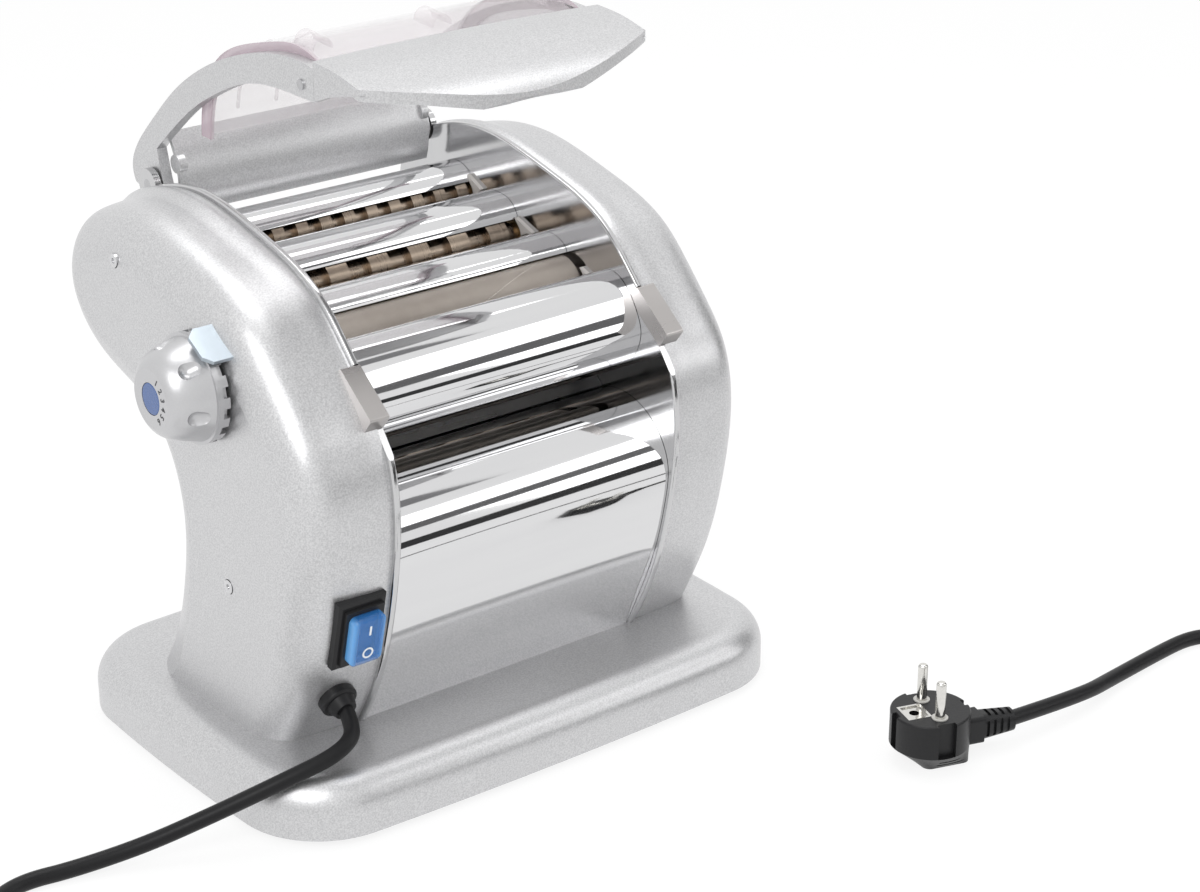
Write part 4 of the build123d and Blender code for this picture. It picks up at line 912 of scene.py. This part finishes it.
@dataclass
class Drive:
    """Gear train, motor and what carries them."""

    nodes: dict[str, bpy.types.Object]

    def dress(self) -> None:
        """Gives every drive node its finish."""
        steel = PlatedSteel("gear_steel", Metal.GEAR.value, 0.32).build()
        dress(("front_roller_gear", "rear_roller_gear", "output_pinion"), steel, self.nodes)
        nylon = Moulded("gear_nylon", (0.74, 0.71, 0.63), 0.38).build()
        dress(("drive_gear", "roller_idler", "cutter_idler"), nylon, self.nodes)
        cast = PlatedSteel("gearbox_alloy", Metal.DIE_CAST.value, 0.48).build()
        dress(("gearbox",), cast, self.nodes)
        can = Moulded("motor_paint", (0.05, 0.05, 0.055), 0.36, 400.0, 0.00008, 0.2).build()
        dress(("motor",), can, self.nodes)
        sheet = GroundSteel("bracket_sheet", Metal.GALVANISED.value, (1.0, 0.1, 1.0)).build()
        dress(("motor_bracket", "gear_plate"), sheet, self.nodes)
        shell = Moulded("capacitor_shell", (0.72, 0.72, 0.70), 0.28, 600.0, 0.00002, 0.3).build()
        dress(("capacitor",), shell, self.nodes)
        posts = PlatedSteel("post_steel", (0.6, 0.6, 0.61), 0.26).build()
        dress(("gear_posts",), posts, self.nodes)


@dataclass
class Knob:
    """Thickness knob with its cap, spring, rod and index tab."""

    nodes: dict[str, bpy.types.Object]
    axis: tuple[float, float] = (-23.895, 195.609)
    face_x: float = -151.35
    numbers: int = 6
    number_radius: float = 10.6
    number_height: float = 4.4
    first_angle: float = 122.0
    step: float = 22.5
    thick: float = 0.09

    def dress(self) -> None:
        """Gives every node of the adjuster its finish."""
        grey = Moulded("knob_silver", (0.56, 0.56, 0.57), 0.33, 1400.0, 0.00003, 0.15, 0.75)
        dress(("knob",), grey.build(), self.nodes)
        blue = Moulded("cap_blue", (0.035, 0.11, 0.34), 0.28, 900.0, 0.00002, 0.5).build()
        dress(("knob_cap",), blue, self.nodes)
        wire = PlatedSteel("spring_wire", Metal.SPRING.value, 0.3).build()
        dress(("knob_spring",), wire, self.nodes)
        tab = GroundSteel("tab_galvanised", (0.50, 0.56, 0.61), (1.0, 0.2, 0.2), 0.34).build()
        dress(("index_tab",), tab, self.nodes)
        dress(("adjuster_rod", "knob_spindle"), PlatedSteel("rod_steel").build(), self.nodes)

    def build(self) -> None:
        """Adds the numbers one to six on the knob's face."""
        ink = Moulded("number_ink", (0.03, 0.03, 0.035), 0.5).build()
        mesh = bmesh.new()
        for index in range(self.numbers):
            angle = math.radians(self.first_angle + index * self.step)
            out = Vector((0.0, math.cos(angle), math.sin(angle)))
            place = Vector((self.face_x - self.thick * 0.5, *self.axis))
            place += Vector((0.0, out.y, out.z)) * self.number_radius
            frame = facing(tuple(place * MM), (-1, 0, 0), tuple(out))
            number = lettering(str(index + 1), self.number_height * MM, self.thick * MM)
            join(mesh, number, frame)
        numbers = finished("knob_numbers", mesh, ink, False)
        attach(numbers, "knob_turned")


@dataclass
class Switch:
    """Rocker switch with its clear boot, and the cable gland."""

    nodes: dict[str, bpy.types.Object]
    origin: Point = (-95.15, -94.39, 93.628)
    outward: Point = (0.0, -0.9708, -0.2399)
    boot_top: float = 10.0
    boot_half_width: float = 0.0085
    mark_rise: float = 6.2
    bar_width: float = 1.0
    bar_length: float = 5.0
    ring_inner: float = 2.0
    ring_outer: float = 2.9
    thick: float = 0.12

    def dress(self) -> None:
        """Gives every node of the switch and gland its finish."""
        black = Moulded("switch_black", (0.012, 0.012, 0.013), 0.42, 1100.0, 0.00006, gloss=0.3)
        dress(("switch_bezel",), black.build(), self.nodes)
        rocker = Moulded("rocker_blue", (0.02, 0.10, 0.34), 0.2, 900.0, 0.00001, 0.6).build()
        dress(("switch_rocker",), rocker, self.nodes)
        middle = tuple(c * MM for c in self.origin)
        boot = ClearPlastic(
            "boot_clear",
            (0.04, 0.24, 0.66),
            (0.16, 0.48, 0.95),
            middle,
            self.boot_half_width,
            alpha=0.42,
            edge_alpha=0.8,
            roughness=0.14,
        )
        dress(("switch_boot",), boot.build(), self.nodes)
        gland = Moulded("gland_black", (0.012, 0.012, 0.013), 0.38, 900.0, 0.00004, gloss=0.25)
        dress(("cable_gland",), gland.build(), self.nodes)

    def build(self) -> None:
        """Adds the I and O marks on the boot."""
        white = Moulded("mark_white", (0.85, 0.88, 0.92), 0.4).build()
        base = facing(tuple(c * MM for c in self.origin), self.outward)
        mesh = bmesh.new()
        bar = block((self.bar_width * MM, self.bar_length * MM, 2 * self.thick * MM))
        join(mesh, bar, base @ Matrix.Translation((0, self.mark_rise * MM, self.boot_top * MM)))
        ring = flat_ring(self.ring_inner * MM, self.ring_outer * MM, self.thick * MM)
        join(mesh, ring, base @ Matrix.Translation((0, -self.mark_rise * MM, self.boot_top * MM)))
        marks = finished("switch_marks", mesh, white, False)
        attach(marks, "machine")


@dataclass
class Lid:
    """Hinged lid: arms, rear beam, clear window and visor."""

    nodes: dict[str, bpy.types.Object]
    middle_x: float = 0.00185
    grip_places: tuple[float, ...] = (-61.3, 1.85, 65.0)
    grip_ends: tuple[tuple[float, float], ...] = ((-33.0, 338.4), (-19.0, 339.4))
    grip_radius: float = 5.6
    grip_wall: float = 1.2
    grip_steps: int = 14
    rib_places: tuple[float, ...] = (-50.2, -29.3)
    rib_width: float = 1.4
    rib_height: float = 1.1
    rib_lean: tuple[float, float] = (0.66, 0.75)
    rib_line: tuple[tuple[float, float], ...] = (
        (26.0, 328.0),
        (36.9, 322.9),
        (44.0, 317.6),
        (49.3, 311.7),
        (53.4, 305.0),
        (56.4, 297.0),
        (58.3, 289.0),
    )
    clear: bpy.types.Material | None = None
    window_half_width: float = 0.0715

    def dress(self) -> None:
        """Gives every lid node its finish."""
        silver = SatinSilver("lid_silver", 0.60, 0.36, 1400.0).build()
        dress(("lid_frame", "visor"), silver, self.nodes)
        middle = (self.middle_x, 0.0, 0.0)
        window = ClearPlastic(
            "window_clear", (0.86, 0.80, 0.83), (0.50, 0.38, 0.44), middle, self.window_half_width
        )
        self.clear = window.build()
        dress(("lid_window",), self.clear, self.nodes)
        steel = PlatedSteel("lid_screws", (0.5, 0.5, 0.51)).build()
        dress(("visor_screws", "hinge_pins"), steel, self.nodes)

    def build(self) -> None:
        """Adds the window's thin ribs and its half-round grips."""
        self._ribs()
        self._grips()

    def _grips(self) -> None:
        """Adds small half-round hoods on the window's front edge."""
        mesh = bmesh.new()
        for x in self.grip_places:
            rows = []
            for step in range(self.grip_steps + 1):
                angle = math.pi * step / self.grip_steps
                out = Vector((math.cos(angle), 0.0, math.sin(angle)))
                row = []
                for y, lift in self.grip_ends:
                    foot = Vector((x, y, lift))
                    outer = foot + out * self.grip_radius
                    inner = foot + out * (self.grip_radius - self.grip_wall)
                    row += [mesh.verts.new(outer * MM), mesh.verts.new(inner * MM)]
                rows.append((row[0], row[2], row[3], row[1]))
            self._tube(mesh, rows)
        grips = finished("window_grips", mesh, self.clear)
        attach(grips, "lid")

    @staticmethod
    def _tube(mesh: bmesh.types.BMesh, rows: list[Section]) -> None:
        """Joins four-cornered sections into a closed bar.

        Args:
            mesh: The mesh that holds the corners.
            rows: The sections in order, each as its four corners.
        """
        for before, after in zip(rows, rows[1:]):
            for side in range(4):
                ahead = (side + 1) % 4
                mesh.faces.new((before[side], before[ahead], after[ahead], after[side]))
        mesh.faces.new(rows[0])
        mesh.faces.new(rows[-1])

    def _ribs(self) -> None:
        """Adds the thin ribs on the window's rear."""
        mesh = bmesh.new()
        for x in self.rib_places:
            rows = []
            for y, z in self.rib_line:
                lift = Vector((0.0, self.rib_lean[0], self.rib_lean[1])) * self.rib_height
                foot = Vector((x, y, z))
                half = Vector((self.rib_width / 2, 0.0, 0.0))
                corners = (foot - half, foot + half, foot + half + lift, foot - half + lift)
                rows.append(tuple(mesh.verts.new(corner * MM) for corner in corners))
            self._tube(mesh, rows)
        ribs = finished("window_ribs", mesh, self.clear, False)
        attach(ribs, "lid")


@dataclass
class CordAndPlug:
    """Mains cord on the floor, from the gland to its plug."""

    nodes: dict[str, bpy.types.Object]
    diameter: float = 0.0075
    length: float = 1.473
    roundness: int = 5
    smoothness: int = 10
    mouth: Point = (-98.15, -87.754, 50.627)
    end: Point = (182.895, -232.288, 12.5)
    plug_nodes: tuple[str, ...] = ("plug_body", "plug_relief", "plug_contacts")
    plug_face: Point = (142.0, -219.0, 26.0)
    plug_turn: float = -18.0
    pin_offset: float = 9.5
    pin_radius: float = 2.45
    ring_radius: float = 3.9
    ring_height: float = 0.5
    route: tuple[Point, ...] = (
        (-99.9, -96.3, 45.6),
        (-106.5, -101.0, 42.3),
        (-117.0, -101.3, 38.6),
        (-131.0, -98.0, 34.6),
        (-147.5, -92.0, 28.4),
        (-168.0, -82.6, 19.6),
        (-195.0, -70.4, 9.0),
        (-226.0, -61.0, 3.9),
        (-246.0, -56.5, 3.75),
        (-261.1, -60.0, 3.75),
        (-273.2, -69.7, 3.75),
        (-279.9, -83.7, 3.75),
        (-279.9, -99.2, 3.75),
        (-266.0, -140.0, 3.75),
        (-232.0, -182.0, 3.75),
        (-217.0, -232.0, 3.75),
        (-240.0, -282.0, 3.75),
        (-273.0, -318.0, 3.75),
        (-268.0, -360.0, 3.75),
        (-228.0, -386.0, 3.75),
        (-176.0, -382.0, 3.75),
        (-128.0, -346.0, 3.75),
        (-82.0, -298.0, 3.75),
        (-28.0, -280.0, 3.75),
        (26.0, -299.0, 3.75),
        (66.0, -346.0, 3.75),
        (106.0, -380.0, 3.75),
        (150.0, -390.6, 3.75),
        (198.0, -386.0, 3.75),
        (240.0, -352.0, 3.75),
        (278.0, -322.0, 3.75),
        (322.0, -322.0, 3.75),
        (349.0, -302.0, 3.75),
        (356.0, -277.0, 3.75),
        (354.3, -260.7, 3.75),
        (354.3, -246.7, 3.75),
        (348.8, -233.8, 3.75),
        (338.6, -224.2, 3.75),
        (325.5, -219.4, 3.75),
        (303.5, -220.6, 3.8),
        (262.0, -226.0, 5.0),
        (231.0, -234.0, 9.5),
    )

    def dress(self) -> None:
        """Gives the plug's nodes their finish."""
        black = Moulded("plug_black", (0.012, 0.012, 0.013), 0.38, 800.0, 0.00008, gloss=0.3)
        dress(("plug_body", "plug_relief"), black.build(), self.nodes)
        nickel = PlatedSteel("contact_nickel", Metal.NICKEL.value, 0.14).build()
        dress(("plug_contacts",), nickel, self.nodes)

    def build(self) -> None:
        """Lays the cord and adds the collars of the plug's pins."""
        curve = bpy.data.curves.new("mains_cord", "CURVE")
        curve.dimensions = "3D"
        curve.bevel_depth = self.diameter / 2
        curve.bevel_resolution = self.roundness
        curve.resolution_u = self.smoothness
        curve.use_fill_caps = True
        points = (self.mouth, *self.route, self.end)
        spline = curve.splines.new("NURBS")
        spline.points.add(len(points) - 1)
        for point, place in zip(spline.points, points):
            point.co = (*(c * MM for c in place), 1.0)
        spline.order_u = 3
        spline.use_endpoint_u = True
        spline.use_smooth = True
        cord = bpy.data.objects.new("mains_cord", curve)
        bpy.context.collection.objects.link(cord)
        rubber = Moulded("cord_black", (0.010, 0.010, 0.011), 0.40, 500.0, 0.00005, gloss=0.22)
        curve.materials.append(rubber.build())
        rings = self._pin_rings()
        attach(cord, "machine")
        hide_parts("cord")

    def _pin_rings(self) -> bpy.types.Object:
        """Adds the light collars round the feet of the pins."""
        mesh = bmesh.new()
        turn = Matrix.Rotation(math.radians(self.plug_turn), 4, "Z")
        for side in (-1, 1):
            sizes = (self.pin_radius * MM, self.ring_radius * MM, self.ring_height * MM)
            collar = flat_ring(*sizes)
            place = Matrix.Translation(Vector(self.plug_face) * MM)
            shift = Matrix.Translation((0, side * self.pin_offset * MM, 0))
            join(mesh, collar, place @ turn @ shift)
        pale = Moulded("collar_pale", (0.62, 0.61, 0.58), 0.4).build()
        rings = finished("pin_collars", mesh, pale, False)
        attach(rings, "machine")
        return rings


def main() -> None:
    """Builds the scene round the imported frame."""
    logging.basicConfig(level=logging.INFO, format="%(name)s %(message)s")
    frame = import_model()
    nodes = frame["nodes"]
    Viewpoint().build()
    Studio().build()
    casing = Casing(nodes)
    knob = Knob(nodes)
    switch = Switch(nodes)
    lid = Lid(nodes)
    cord = CordAndPlug(nodes)
    for assembly in (casing, RollerSet(nodes), Drive(nodes), knob, switch, lid, cord):
        assembly.dress()
        LOG.info("%s dressed", type(assembly).__name__)
    for assembly in (casing, knob, switch, lid, cord):
        assembly.build()
        LOG.info("%s built", type(assembly).__name__)


if __name__ == "__main__":
    main()
